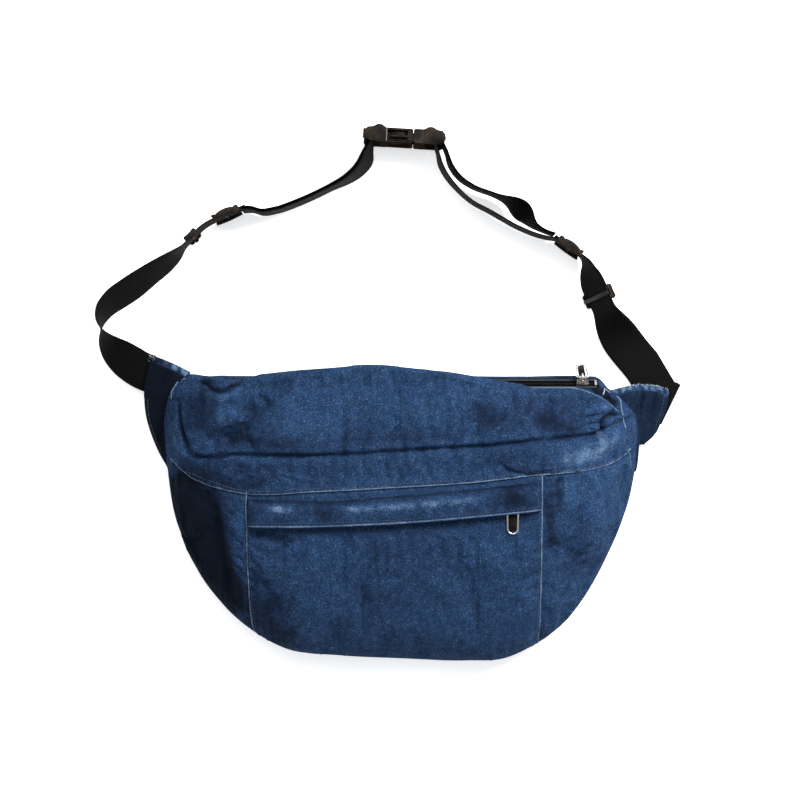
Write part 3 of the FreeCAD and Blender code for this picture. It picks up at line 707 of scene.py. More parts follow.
# The large creases, folds and hollows of the slack front: kind, line, depth, width, taper, far.
FOLDS = [
    ("groove", CREASE[1:], -4.4, 2.2, 0.04),
    ("step", CREASE[1:], 4.4, 2.6, 0.06, 12),
    ("ridge", [(x, y - 9) for x, y in CREASE[2:-1]], 1.2, 6.5),
    ("groove", TOP_LEFT_PINCH, -4.8, 2.8),
    ("ridge", [(-190, 131), (-176, 129), (-162, 129)], 1.6, 4),
    ("ridge", [(-190, 122), (-176, 114), (-160, 113), (-146, 121)], 2.2, 6),
    ("groove", [(-122, 116), (-133, 104), (-146, 88), (-166, 70)], -5.0, 10),
    ("ridge", [(-98, 112), (-112, 98), (-122, 84), (-138, 70)], 3.2, 11),
    ("ridge", [(-217, 96), (-214, 74), (-203, 60), (-190, 54)], 2.4, 4.5),
    ("groove", [(-209, 114), (-210, 100), (-207, 84), (-202, 72), (-195, 65)], -4.6, 2.3, 0.2),
    ("ridge", [(-113, 45), (-98, 41), (-82, 37)], 1.0, 1.6),
    ("ridge", [(-150, 48), (-142, 44), (-132, 40)], 0.9, 1.8),
    ("groove", [(-138, -9), (-121, -15), (-106, -18), (-92, -20)], -2.6, 3.6),
    ("ridge", [(-138, -17), (-120, -23), (-100, -25)], 1.4, 4.5),
    ("ridge", [(-154, 14), (-154, -20), (-151, -55), (-148, -85)], 3.4, 8),
    ("groove", [(-174, 20), (-170, -15), (-163, -50), (-155, -82)], -3.0, 6),
    ("groove", [(70, 132), (84, 126.5), (94, 123), (108, 123.5), (122, 128)], -3.2, 3.2),
    ("ridge", [(72, 122), (94, 114), (118, 118)], 1.8, 8),
    ("groove", [(52, 124), (66, 108), (80, 98), (96, 92)], -2.4, 9),
    ("step", FRONT_ZIP_EDGE[::-1], 4.5, 1.6, 0.16, 8),
    ("groove", [(x + 1, y + 3.2) for x, y in FRONT_ZIP_EDGE], -5.0, 2.6),
    ("ridge", [(186, 120), (194, 114), (202, 107)], 2.2, 2.6),
    ("groove", [(205, 98.5), (191, 97), (184, 92), (184, 84), (176, 76), (162, 73.5)], -5.5, 2.2),
    ("ridge", [(196, 104), (184, 101), (176, 92), (173, 83)], 3.4, 4),
    ("groove", [(168, 92), (174, 96), (182, 98)], -3.0, 1.8),
    ("groove", [(166, 86), (174, 90), (181, 90)], -3.0, 1.6),
    ("groove", [(194, 112), (199, 106), (205, 100)], -3.0, 1.8),
    ("groove", [(197, 118), (201, 109), (206, 104)], -3.0, 1.6),
    ("ridge", [(176, 66), (194, 70), (206, 80)], 2.4, 8),
    ("groove", BAND_FOLD, -2.4, 1.9),
    ("step", BAND_FOLD, 1.8, 2.0, 0.2, 9),
    ("groove", [(145, 42), (145, 28), (144.5, 12)], -2.2, 3.2),
    ("groove", [(136, 40), (136, 26), (137, 14)], -1.6, 2.4),
    ("ridge", [(152, 40), (153, 22), (152, 6)], 1.2, 4),
    ("groove", [(133, 8), (135, -12), (137, -34)], -1.8, 4),
    ("groove", [(206, 60), (208, 48), (207, 34)], -1.6, 2.0),
    ("groove", [(-96, -128), (-80, -116), (-58, -108)], -1.6, 5),
    ("groove", [(20, -132), (36, -120), (60, -114)], -1.6, 6),
    ("ridge", [(-40, -70), (0, -62), (44, -68)], 1.6, 16),
    ("groove", [(92, -112), (104, -92), (108, -70)], -1.6, 7)]
# The seams draw the cloth down, with the lapped layer standing up beside each.
SEAM_STROKES = [
    ("step", YOKE_SEAM, 1.5, 0.9, 0.01, 5),
    ("groove", [(x, y - 1.6) for x, y in YOKE_SEAM], -1.6, 1.5, 0.01),
    ("groove", SEAM_UPRIGHT_LEFT, -1.9, 1.7, 0.03),
    ("step", SEAM_UPRIGHT_LEFT[::-1], 0.9, 0.9, 0.03, 5),
    ("groove", [(x + 1.6, y) for x, y in SEAM_UPRIGHT_RIGHT], -2.2, 1.9, 0.03),
    ("step", SEAM_UPRIGHT_RIGHT, 1.0, 0.9, 0.03, 5)]
# Gathers along seams: line, height, pitch, reach, seed.
GATHERS = [
    (YOKE_SEAM[1:-1], 0.75, 11, 9, 3),
    (CREASE[2:-1], 0.7, 17, 14, 8),
    (SEAM_UPRIGHT_LEFT, 0.8, 12, 9, 5),
    (SEAM_UPRIGHT_RIGHT, 0.8, 12, 9, 7),
    ([(-150, 133), (-60, 136), (40, 136), (120, 134)], 1.3, 24, 14, 11)]
# Where the dye has worn paler and where broad pale patches paint light on the folds, and where painted shade
# darkens the creases, hollows and the left side: line, amount, width, taper.
WEAR_LIGHT_AND_SHADE = [
    ([(x, y + 1.2) for x, y in YOKE_SEAM], 0.5, 1.3, 0.02),
    ([(-73, 63), (16, 68.5), (82, 72), (131, 77)], 0.3, 2.6),
    ([(-190, 63), (-150, 64.5), (-80, 64)], 0.2, 2.2),
    ([(128, 58), (158, 59), (176, 62), (190, 71), (199, 86), (199, 96)], 0.76, 9.5, 0.3),
    ([(-186, 78), (-150, 74), (-80, 72), (0, 78), (70, 82)], -0.28, 9, 0.1),
    ([(x + 2.5, y + 6) for x, y in FRONT_ZIP_EDGE[1:]], -1.3, 3.2, 0.1),
    ([(-113, 45.5), (-98, 41.5), (-82, 37.5)], 0.4, 1.4),
    (FRONT_ZIP_EDGE, 0.5, 1.8),
    ([(-217, 96), (-214, 78), (-206, 64), (-194, 57)], 0.4, 3.4),
    ([(-210, 104), (-207, 84), (-202, 72), (-195, 65)], -1.0, 1.8),
    (TOP_LEFT_PINCH, -1.1, 2.0),
    ([(-184, 121), (-172, 113), (-158, 114), (-146, 124)], 0.35, 3.4),
    ([(176, 76), (184, 84), (184, 92), (191, 97), (204, 98.5)], -1.0, 1.8),
    ([(170, 96), (178, 102), (190, 104)], 0.4, 4),
    # Broad pale patches: painted light on the lit sides of the folds.
    ([(-172, 106), (-158, 100), (-172, 88)], 0.35, 12),
    ([(-110, 95), (-86, 84), (-50, 80)], 0.3, 16),
    ([(60, 100), (110, 100), (150, 98), (172, 92)], -0.34, 15),
    ([(-130, 124), (-70, 129), (0, 130), (60, 126)], -0.22, 8),
    ([(-40, -50), (0, -30), (60, -50)], -0.12, 40),
    ([(174, 88), (179, 80)], 0.4, 6),
    ([(-150, 10), (-151, -20), (-149, -55)], 0.22, 4),
    ([(160, 20), (165, -20), (162, -60)], -0.22, 14),
    ([(-130, 112), (-142, 92), (-164, 72)], -0.5, 10),
    ([(120, 92), (150, 84), (160, 78)], -0.55, 8),
    ([(60, 108), (76, 96), (96, 90)], -0.35, 9),
    ([(-200, 120), (-196, 100), (-192, 80)], -0.35, 14),
    ([(-150, 76), (-120, 70), (-90, 70)], -0.25, 6),
    # Painted shade over the left side, which slopes away from the light.
    ([(-222, 50), (-208, 30), (-200, 0), (-188, -40), (-168, -70), (-150, -96)], -1.5, 24),
    ([(-178, 36), (-174, 0), (-166, -40), (-154, -80)], -0.9, 9),
    ([(-192, 46), (-160, 34), (-120, 34)], -0.5, 6),
    ([(-139, -12), (-121, -16), (-96, -21)], -0.5, 4),
    ([(135, 30), (136, 0), (138, -30)], -0.6, 5),
    ([(149, 46), (151, 28), (151, 8)], 0.5, 2.6, 0.3),
    ([(157, 44), (159, 26), (158, 6)], 0.3, 2.2, 0.3),
    ([(143, 44), (144, 24), (143, 4)], -0.6, 3.0, 0.3),
    ([(176, 40), (180, 10), (176, -30), (166, -62)], 0.24, 6, 0.3),
    ([(-130, -70), (-120, -100), (-100, -116)], -0.6, 26)]

# ---- slack cloth --------------------------------------------------------------------------

COARSE_STEP = 4              # rows and columns of the full grid to one of the simulated copy
LAST_FRAME = 18
CLOTH_SETTINGS = {
    "quality": 6, "mass": 0.35, "tension_stiffness": 18, "compression_stiffness": 18, "shear_stiffness": 6,
    "bending_stiffness": 0.6, "tension_damping": 12, "air_damping": 6, "use_pressure": True,
    "shrink_min": -0.035, "vertex_group_mass": "held", "pin_stiffness": 1.0}


def eased_read(values, places):
    """Rows of a table read at places between them, with a smooth passage from one to the next."""
    first = np.clip(places.astype(int), 0, len(values) - 2)
    share = smoothstep(places - first, 0, 1)[:, None]
    return values[first] * (1 - share) + values[first + 1] * share


def swelled(grid, held, strength):
    """How far each point of a grid moves when the bag is let go slack round its filling.

    A coarse closed copy is simulated as cloth with pressure inside it, cut a little larger than
    the form, and held where held is 1; the moves are read back on to the full grid."""
    rows = np.arange(0, grid.shape[0], COARSE_STEP)
    columns = np.unique(np.append(np.arange(0, grid.shape[1], COARSE_STEP), grid.shape[1] - 1))
    coarse = grid[rows][:, columns]
    count = coarse.shape[0] * coarse.shape[1]
    faces = grid_faces(len(rows), len(columns), wrap=True).tolist()
    index = np.arange(count).reshape(len(rows), len(columns))
    faces.append(index[:, 0].tolist())
    faces.append(index[::-1, -1].tolist())
    mesh = bpy.data.meshes.new("slack_form")
    mesh.from_pydata((coarse.reshape(-1, 3) * MM).tolist(), [], faces)
    obj = place(bpy.data.objects.new("slack_form", mesh))
    pins = obj.vertex_groups.new(name="held")
    for number, weight in enumerate(held[rows][:, columns].ravel()):
        if weight > 0.01:
            pins.add([number], float(min(weight, 1.0)), "REPLACE")
    modifier = obj.modifiers.new("cloth", "CLOTH")
    for key, value in CLOTH_SETTINGS.items():
        setattr(modifier.settings, key, value)
    modifier.settings.uniform_pressure_force = strength
    modifier.settings.effector_weights.gravity = 0.0
    modifier.collision_settings.use_collision = False
    modifier.point_cache.frame_start = 1
    modifier.point_cache.frame_end = LAST_FRAME
    scene = bpy.context.scene
    for frame_number in range(1, LAST_FRAME + 1):
        scene.frame_set(frame_number)
    solved = obj.evaluated_get(bpy.context.evaluated_depsgraph_get())
    places = np.empty(count * 3)
    solved.data.vertices.foreach_get("co", places)
    move = places.reshape(len(rows), len(columns), 3) / MM - coarse
    bpy.data.objects.remove(obj, do_unlink=True)
    scene.frame_set(1)
    full = np.empty_like(grid)
    at_rows = np.arange(grid.shape[0]) / COARSE_STEP
    at_columns = np.interp(np.arange(grid.shape[1]), columns, np.arange(len(columns)))
    for axis in range(3):
        layer = np.vstack([move[..., axis], move[:1, :, axis]])
        full[..., axis] = eased_read(eased_read(layer, at_rows).T, at_columns).T
    return full

# ---- denim panels -------------------------------------------------------------------------

form = body_form()
FRONT_ROW = row_of("front")
YOKE_ROW = row_of("band")
ZIP_ROW = row_of("zip")
BACK_TOP_ROW = row_of("back_top")
TURN_ROW = row_of("turn")
SEAM_COLUMN_LEFT = COLUMNS[0]
SEAM_COLUMN_RIGHT = COLUMNS[0] + COLUMNS[1]

form_normal = closed_normals(form)


SEAM_REACH = 2.0             # in rows or columns
SEAM_SHARE = 0.85            # how firmly the seams of the front are held; 1 is quite still
STILL_ROWS = (14, 4)         # rows before and after the zip that don't move at all
PRESSURE = 2.0
MOST_OUT, MOST_IN, MOST_MOVED = 5.0, 2.4, 6.0


def seam_hold():
    """1 where the cloth is held still: its floor, its zip, its seams and its ends."""
    hold = 1 - smoothstep(form[..., 2], 2, 22)
    rows, columns = (np.arange(count) for count in form.shape[:2])
    for row, share in ((YOKE_ROW, SEAM_SHARE), (ZIP_ROW, 1.0), (BACK_TOP_ROW, 1.0), (TURN_ROW, 1.0)):
        hold = np.maximum(hold, np.exp(-((rows - row) / SEAM_REACH)**2)[:, None] * share)
    for column in (SEAM_COLUMN_LEFT, SEAM_COLUMN_RIGHT):
        near = np.exp(-((columns - column) / SEAM_REACH)**2)[None]
        hold = np.maximum(hold, SEAM_SHARE * near * (rows < YOKE_ROW)[:, None])
    ends = np.minimum(columns, columns[::-1])
    hold = np.maximum(hold, (1 - smoothstep(ends, 1, 14))[None])
    hold[ZIP_ROW - STILL_ROWS[0]:BACK_TOP_ROW + STILL_ROWS[1]] = 1.0
    x, y = form[..., 0], form[..., 1]
    under_welt = window(x, -156, -146, 132, 142) * window(y, -20, -11, 38, 47) * (form[..., 2] > 60)
    outline = 1 - smoothstep(form_normal[..., 2], 0.22, 0.62)
    return np.maximum(np.maximum(hold, outline), under_welt)


smooth_form, smooth_normal = form, form_normal
hold = seam_hold()
slack = swelled(form, hold, PRESSURE)
slack *= (1 - smoothstep(hold, 0.55, 1.0))[..., None]
outward = (slack * form_normal).sum(axis=2, keepdims=True)
slack += form_normal * (np.clip(outward, -MOST_IN, MOST_OUT) - outward)
reach = np.linalg.norm(slack, axis=2, keepdims=True)
slack *= np.minimum(1.0, MOST_MOVED / np.maximum(reach, 1e-6))
print(f"slack cloth moved at most {reach.max():.1f} mm, {reach.mean():.2f} mm on average")
form = form + slack
form[..., 2] = np.maximum(form[..., 2], 0.0)
form_normal = closed_normals(form)
work = Sculpt(form, form_normal[..., 2])
for settings in FOLDS + SEAM_STROKES:
    work.stroke(*settings)
for settings in GATHERS:
    work.puckers(*settings)
for settings in WEAR_LIGHT_AND_SHADE:
    work.tint(*settings)
plan_places = form[..., :2].reshape(-1, 2)
above = smoothstep(form[..., 2].ravel(), 8, 40)
above *= smoothstep(form_normal[..., 2].ravel(), 0.05, 0.5)
work.move += above * 1.1 * slow_noise(plan_places, 62, 21)
work.move += above * 0.35 * slow_noise(plan_places, 21, 22)
held = np.abs((form[..., 1] - ZIP_Y) * ZIP_BACK[1] + (form[..., 2] - ZIP_Z) * ZIP_BACK[2])
near_zip = 1 - smoothstep(held, ZIP_HALF, ZIP_HALF + 9)
near_zip *= window(form[..., 0], ZIP_START - 8, ZIP_START, ZIP_STOP, ZIP_STOP + 8) * (form[..., 2] > 30)
outward = (form[..., 1] - ZIP_Y) * ZIP_OUT[1] + (form[..., 2] - ZIP_Z) * ZIP_OUT[2]
near_zip *= 1 - smoothstep(outward, 4, 11)
moved = np.clip(work.move.reshape(form.shape[:2]), -8, 6) * (1 - near_zip)
skin = form + form_normal * moved[..., None]
skin[..., 2] = np.maximum(skin[..., 2], form[..., 2] * 0.15)
skin_normal = closed_normals(skin)
# light holds worn paler dye and painted light; dark holds painted shade, which goes into the shade attribute.
patchy = 0.85 + 0.30 * slow_noise(plan_places, 23, 41) + 0.22 * slow_noise(plan_places, 8, 43)
light = np.clip(work.light * np.clip(patchy, 0.15, 1.5), 0, 1).reshape(form.shape[:2])
dark = np.clip(work.dark * np.clip(1.2 - 0.3 * patchy, 0.6, 1.2), 0, 1).reshape(form.shape[:2])


def panel(name, rows, columns, node, thickness=1.5):
    """One denim panel: the skin between two rows and two columns, both included."""
    first, last = rows
    index = np.arange(first, last + 1) % skin.shape[0]
    part = slice(columns[0], columns[1] + 1)
    grid, normal = skin[index][:, part], skin_normal[index][:, part]
    points, faces = thick_sheet(grid, normal, thickness)
    along = grid[..., 0]
    down = np.cumsum(np.linalg.norm(np.diff(grid, axis=0, prepend=grid[:1]), axis=2), axis=0)
    uv = np.stack([along, down], axis=2).reshape(-1, 2)
    pale, shade_amount = (np.tile(tone[index][:, part].ravel(), 2) for tone in (light, dark))
    piece = make_mesh(name, points, faces, DENIM, uv=np.vstack([uv, uv]),
                      values={"fade": pale, "shade": shade_amount}, nodes=(node,) if node else ())
    cloth(piece, [grid])
    return piece


LAST_COLUMN = skin.shape[1] - 1
panel("denim_front_centre", (FRONT_ROW, YOKE_ROW), (SEAM_COLUMN_LEFT, SEAM_COLUMN_RIGHT),
      "front_centre_panel")
panel("denim_front_left", (FRONT_ROW, YOKE_ROW), (0, SEAM_COLUMN_LEFT), "front_side_panel_left")
panel("denim_front_right", (FRONT_ROW, YOKE_ROW), (SEAM_COLUMN_RIGHT, LAST_COLUMN), "front_side_panel_right")
panel("denim_yoke", (YOKE_ROW, ZIP_ROW), (0, LAST_COLUMN), "yoke_panel")
panel("denim_top_back", (BACK_TOP_ROW, TURN_ROW), (0, LAST_COLUMN), "top_back_panel")
first_column, last_column = np.searchsorted(skin[ZIP_ROW, :, 0], (ZIP_START, ZIP_STOP)) + (-1, 1)
panel("zip_end_left", (ZIP_ROW, BACK_TOP_ROW), (0, first_column), None)
panel("zip_end_right", (ZIP_ROW, BACK_TOP_ROW), (last_column, LAST_COLUMN), None)
panel("denim_back", (TURN_ROW, skin.shape[0] + FRONT_ROW), (0, LAST_COLUMN), "back_panel")


GUSSET_COLUMNS = 30
GUSSET_BULGE = 4.0


def chain(loop, first, last, count=GUSSET_COLUMNS):
    """Part of a closed loop from one of its points on to another, evenly spaced."""
    steps = (last - first) % len(loop) + 1
    return evenly(loop[(first + np.arange(steps)) % len(loop)], count)


def end_panel(name, column, side, shade_amount):
    """The small gusset that closes one end of the pack, under its wing."""
    loop = skin[:, column]
    low, high = int(np.argmin(loop[:, 1])), int(np.argmax(loop[:, 1]))
    upper, under = chain(loop, low, high), chain(loop, high, low)[::-1]
    if upper[:, 2].mean() < under[:, 2].mean():
        upper, under = under, upper
    t = np.linspace(0, 1, 11)[:, None, None]
    grid = under[None] * (1 - t) + upper[None] * t
    across = np.sin(math.pi * np.linspace(0, 1, GUSSET_COLUMNS))[None] ** 0.5
    grid[..., 0] += side * GUSSET_BULGE * np.sqrt(np.sin(math.pi * t[..., 0])) * across
    normal = grid_normals(grid)
    normal *= np.sign(normal[..., :1] * side + 1e-9)
    points, faces = thick_sheet(grid, normal, 1.2)
    shade = np.full(len(points), shade_amount)
    piece = make_mesh(name, points, faces, DENIM, values={"fade": np.zeros(len(points)), "shade": shade})
    cloth(piece, [grid])


# Painted shade on the gussets under the wings, deeper at the left.
end_panel("end_gusset_left", 0, -1, 1.1)
end_panel("end_gusset_right", LAST_COLUMN, 1, 0.6)

# ---- seams, edges and stitches ------------------------------------------------------------

cover = tree_of(skin[FRONT_ROW - 4:ZIP_ROW])


def drape(points, lift=0.0, tree=cover):
    """Points in plan laid on the cloth below them, and the cloth's normal at each."""
    laid, normals = [], []
    for x, y in points:
        hit, normal, _, _ = tree.ray_cast(Vector((x, y, 200)), Vector((0, 0, -1)))
        if hit is None:
            hit, normal, _, _ = tree.find_nearest(Vector((x, y, 30)))
        if normal.z < 0:
            normal = -normal
        laid.append(np.array(hit) + lift * np.array(normal))
        normals.append(np.array(normal))
    return np.array(laid), unit(relaxed(np.array(normals), 2))


def ribbon(centre, normals, half_width, rise, profile=5):
    """A closed strip of cloth along a line, low and rounded across: the folded edge of a seam."""
    side = unit(np.cross(unit(np.gradient(centre, axis=0)), normals))
    grid = np.stack([centre + half_width * math.cos(a) * side + normals * rise * math.sin(a)
                     for a in ring(2 * profile)])
    faces = grid_faces(*grid.shape[:2], wrap=True).tolist()
    return grid.reshape(-1, 3), faces + end_caps(*grid.shape[:2])


def stitches(line, pitch=3.4, length=2.4, radius=0.34, lift=0.25, tree=cover):
    """A row of stitches laid on the cloth: short capsules, each a little off the last."""
    dense = smooth_line(line, 0.5)
    run = lengths(dense)
    starts = np.arange(0.4, run[-1] - length, pitch)
    chance = np.random.default_rng(int(abs(line[0][0]) * 10) + len(starts))
    parts = []
    for start in starts:
        ends = [start, start + length * 0.5, start + length]
        plan = read_at(ends, run, dense) + (chance.random(2) - 0.5) * 0.16
        laid, normals = drape(plan, lift, tree)
        laid[1] += normals[1] * radius * 0.7
        parts.append(ribbon(laid, normals, radius, radius * 0.8, 3))
    return joined(parts)


def seam_line(name, line, half_width=0.75, rise=0.55, lift=0.25, pale=1.0, spacing=1.2, tree=cover):
    """The worn folded edge beside a seam."""
    plan = smooth_line(line, spacing)
    centre, normals = drape(plan, lift, tree)
    points, faces = ribbon(relaxed(centre, 3), relaxed(normals, 3), half_width, rise)
    chance = np.random.default_rng(len(points))
    marks = np.arange(0, len(plan) + 7, 7)
    wave = np.interp(np.arange(len(plan)), marks, 0.7 + 0.5 * chance.random(len(marks)))
    fade = np.tile(pale * wave, len(points) // len(plan))
    return make_mesh(name, points, faces, DENIM, values={"fade": fade, "shade": np.zeros(len(points))})


def stitch_row(name, lines, material, **settings):
    """One piece made of the stitches along several lines."""
    points, faces = joined([stitches(line, **settings) for line in lines])
    return make_mesh(name, points, faces, material)


def moved_aside(points, distance):
    """Points moved sideways in plan, to the right of their run."""
    line = np.asarray(points, float)
    run = unit(np.gradient(line, axis=0))
    return line + distance * np.column_stack([run[:, 1], -run[:, 0]])


def beside(line, distance):
    """A line moved sideways in plan, to the left of its run."""
    return moved_aside(smooth_line(line, 4.0), -distance)


yoke_line = YOKE_SEAM[1:-1]
seam_line("yoke_seam_edge", [(-219, 56)] + yoke_line + [(214, 65)], 0.85, 0.6)
stitch_row("yoke_topstitch", [beside(yoke_line, 2.6)], DARK_STITCH)
seam_line("left_upright_edge", SEAM_UPRIGHT_LEFT + [(-134, -114)], 0.7, 0.5)
stitch_row("left_upright_topstitch", [beside(SEAM_UPRIGHT_LEFT, 2.4)], DARK_STITCH)
seam_line("right_upright_edge", SEAM_UPRIGHT_RIGHT + [(129, -122)], 0.7, 0.5)
stitch_row("right_upright_topstitch", [beside(SEAM_UPRIGHT_RIGHT, -2.6)], DARK_STITCH)
seam_line("right_end_seam_edge", [(211, 63), (214.5, 56), (215.5, 46)], 0.6, 0.5)
seam_line("zip_end_fold_edge", FRONT_ZIP_EDGE, 0.8, 0.6, pale=0.8)

# ---- webbing ------------------------------------------------------------------------------

WEB_WIDTH, WEB_THICK = 38.0, 1.6
BUCKLE_AT = (1.3, 359.0)
BUCKLE_TURN = math.radians(-3.5)
BAR_X = 32.0
BAR_WRAP = 3.5               # from the buckle bar's axis to the middle of the webbing
# Stations: X, Y, heading, lean outward from upright, height of the lower edge.
LEFT_STRAP = [
    (-238.5, 135.6, 164, -73, 8.5), (-243, 137, 162, -72, 8), (-258, 145, 150, -70, 5),
    (-270, 154, 140, -58, 2), (-279, 163, 128, -40, 1), (-284.5, 173, 109, -20, 1),
    (-286, 184, 88, 2, 1), (-282, 196, 68, 20, 1), (-273, 206, 50, 30, 1),
    (-258, 217, 40, 32, 1), (-240, 230, 36, 26, 1), (-224, 241, 38, 19, 1.5),
    (-214, 249, 43, 10, 2.5), (-207, 256, 46, 0, 4), (-198, 265.3, 46, 0, 4), (-189, 274.6, 46, 0, 4),
    (-184, 278, 24, 0, 4), (-166, 286, 24, 0, 4), (-148, 294, 24, 0, 4)]
LEFT_LOOP = [(-151, 291.4), (-142, 291.5), (-133, 289), (-119, 291), (-99, 298), (-66, 313.3),
             (-51, 321), (-40, 330), (-34, 339), (-31.5, 349)]
RIGHT_STRAP = [
    (144, 265.4, -36, 0, 4), (158, 255.2, -36, 0, 4), (172, 245, -36, 0, 4), (174.6, 240.5, -66, 6, 4.3),
    (176, 235, -76, 14, 4.8), (178, 228.5, -70, 23, 5.4), (180, 222.5, -66, 28, 5.5),
    (186, 209, -66, 28, 5.5), (192, 195.6, -66, 28, 5.5), (197, 186.5, -60, 42, 3.5),
    (203.5, 177, -56, 60, 1.5), (211, 167, -52, 78, 1), (219, 157.4, -50, 90, 1), (230, 144.3, -50, 90, 1)]
RIGHT_TAUT = [(146, 263.2), (138, 264.5), (128, 267), (112, 273.4), (81, 290.5), (67, 298), (50, 313.3),
              (41, 325), (36, 335), (33.6, 345)]
RIGHT_LOOSE = [(144.3, 267.7), (136, 270.5), (126, 276), (116, 287.5), (105, 297), (86, 305.7), (67, 313),
               (54, 322), (46, 333), (42, 345)]
FOLD_TOP, FOLD_FOOT = np.array([261.5, 128.0]), np.array([243.0, 90.0])
FOLD_RADIUS = 5.6
LAYER_GAP = 1.3              # from the middle of two layers of webbing to each of them
LEFT_LEAN, RIGHT_LEAN = 15.0, -4.0
RIGHT_FLOP = 24.0
LEAN_RISES, LEAN_FADES = (6, 30), (20, 75)      # distances along the webbing from the buckle bar
FLOP_AT, FLOP_REACH = 40.0, 15.0     # back from the end of a loop's second layer


def buckle_point(x, y):
    c, s = math.cos(BUCKLE_TURN), math.sin(BUCKLE_TURN)
    return BUCKLE_AT[0] + x * c - y * s, BUCKLE_AT[1] + x * s + y * c


def station_frames(stations, spacing=2.0):
    """Middles, directions across the width and directions out of the face along a strap."""
    stations = np.asarray(stations, float)
    headings = np.degrees(np.unwrap(np.radians(stations[:, 2])))
    table = np.column_stack([stations[:, :2], headings, stations[:, 3:]])
    run = lengths(table[:, :2])
    at = np.linspace(0, run[-1], int(run[-1] / spacing) + 1)
    x, y, heading, lean, low = spline(np.column_stack([run, table]), at).T
    turn, tilt = np.radians(heading), np.radians(lean)
    outward = np.column_stack([-np.sin(turn), np.cos(turn), 0 * turn])
    up = np.array([[0.0, 0.0, 1.0]])
    across = outward * np.sin(tilt)[:, None] + up * np.cos(tilt)[:, None]
    face = outward * np.cos(tilt)[:, None] - up * np.sin(tilt)[:, None]
    lift = WEB_WIDTH / 2 * np.cos(tilt) + WEB_THICK / 2 * np.abs(np.sin(tilt))
    middle = np.column_stack([x, y, low + lift])
    return middle, across, face


def squared_off(value, power):
    """Turns the sines and cosines of a circle into those of a squarer oval."""
    return np.sign(value) * np.abs(value)**power


def strap_section(count=22):
    """Across and out-of-face parts of the webbing's outline: flat faces and rounded selvedges."""
    angle = ring(count)
    wide, thick = squared_off(np.cos(angle), 0.55), squared_off(np.sin(angle), 0.5)
    edge = 1 - 0.25 * np.exp(-((np.abs(wide) - 0.9) / 0.035)**2)
    return wide * WEB_WIDTH / 2, thick * WEB_THICK / 2 * edge


def webbing(name, middle, across, face, nodes, body):
    wide, thick = strap_section()
    grid = middle[None] + across[None] * wide[:, None, None] + face[None] * thick[:, None, None]
    rows, columns = grid.shape[:2]
    faces = grid_faces(rows, columns, wrap=True).tolist() + end_caps(rows, columns)
    piece = make_mesh(name, grid.reshape(-1, 3), faces, WEBBING, body,
                      uv_grid(wide, lengths(middle)), nodes=nodes)
    sheet = np.stack([middle - across * WEB_WIDTH / 2, middle + across * WEB_WIDTH / 2], axis=0)
    cloth(piece, [sheet])


def loop_frames(outer, bar, inner, lean, flop):
    """An upright strap up to a buckle bar, round it and back.

    It leans near the buckle, but not on the bar. Its second layer flops over by flop degrees
    a little before its end.
    """
    around = [(bar[0] + BAR_WRAP * math.cos(a), bar[1] + BAR_WRAP * math.sin(a))
              for a in np.radians(180 - 15 * np.arange(13))]
    going, coming = smooth_line(outer, 2.0), smooth_line(inner, 2.0)
    route = np.vstack([going, around, coming])
    step = unit(relaxed(np.gradient(route, axis=0), 2))
    face = np.column_stack([-step[:, 1], step[:, 0], 0 * step[:, 0]])
    middle = np.column_stack([route, np.full(len(route), 4.0 + WEB_WIDTH / 2)])
    run = lengths(route)
    past_bar = run - run[len(going) + len(around) // 2]
    away = np.abs(past_bar)
    tilt = -np.sign(past_bar) * math.radians(lean) * window(away, *LEAN_RISES, *LEAN_FADES)
    tilt += math.radians(flop) * np.exp(-((run[-1] - run - FLOP_AT) / FLOP_REACH)**2)
    tilt = (tilt * smoothstep(run, 0, 20) * smoothstep(run[-1] - run, 0, 20))[:, None]
    up = np.array([[0.0, 0.0, 1.0]])
    return middle, face * np.sin(tilt) + up * np.cos(tilt), face * np.cos(tilt) - up * np.sin(tilt)


webbing("left_strap", *station_frames(LEFT_STRAP), ("left_webbing",), "pack")
webbing("left_strap_loop", *loop_frames(moved_aside(LEFT_LOOP, -LAYER_GAP), buckle_point(-BAR_X, 0),
                                        moved_aside(LEFT_LOOP, LAYER_GAP)[::-1], LEFT_LEAN, 0.0),
        ("left_webbing_loop",), "pack")
webbing("right_strap_loop", *loop_frames(RIGHT_TAUT, buckle_point(BAR_X, 0), RIGHT_LOOSE[::-1], RIGHT_LEAN,
                                         RIGHT_FLOP), ("right_webbing_loop",), "right_strap")


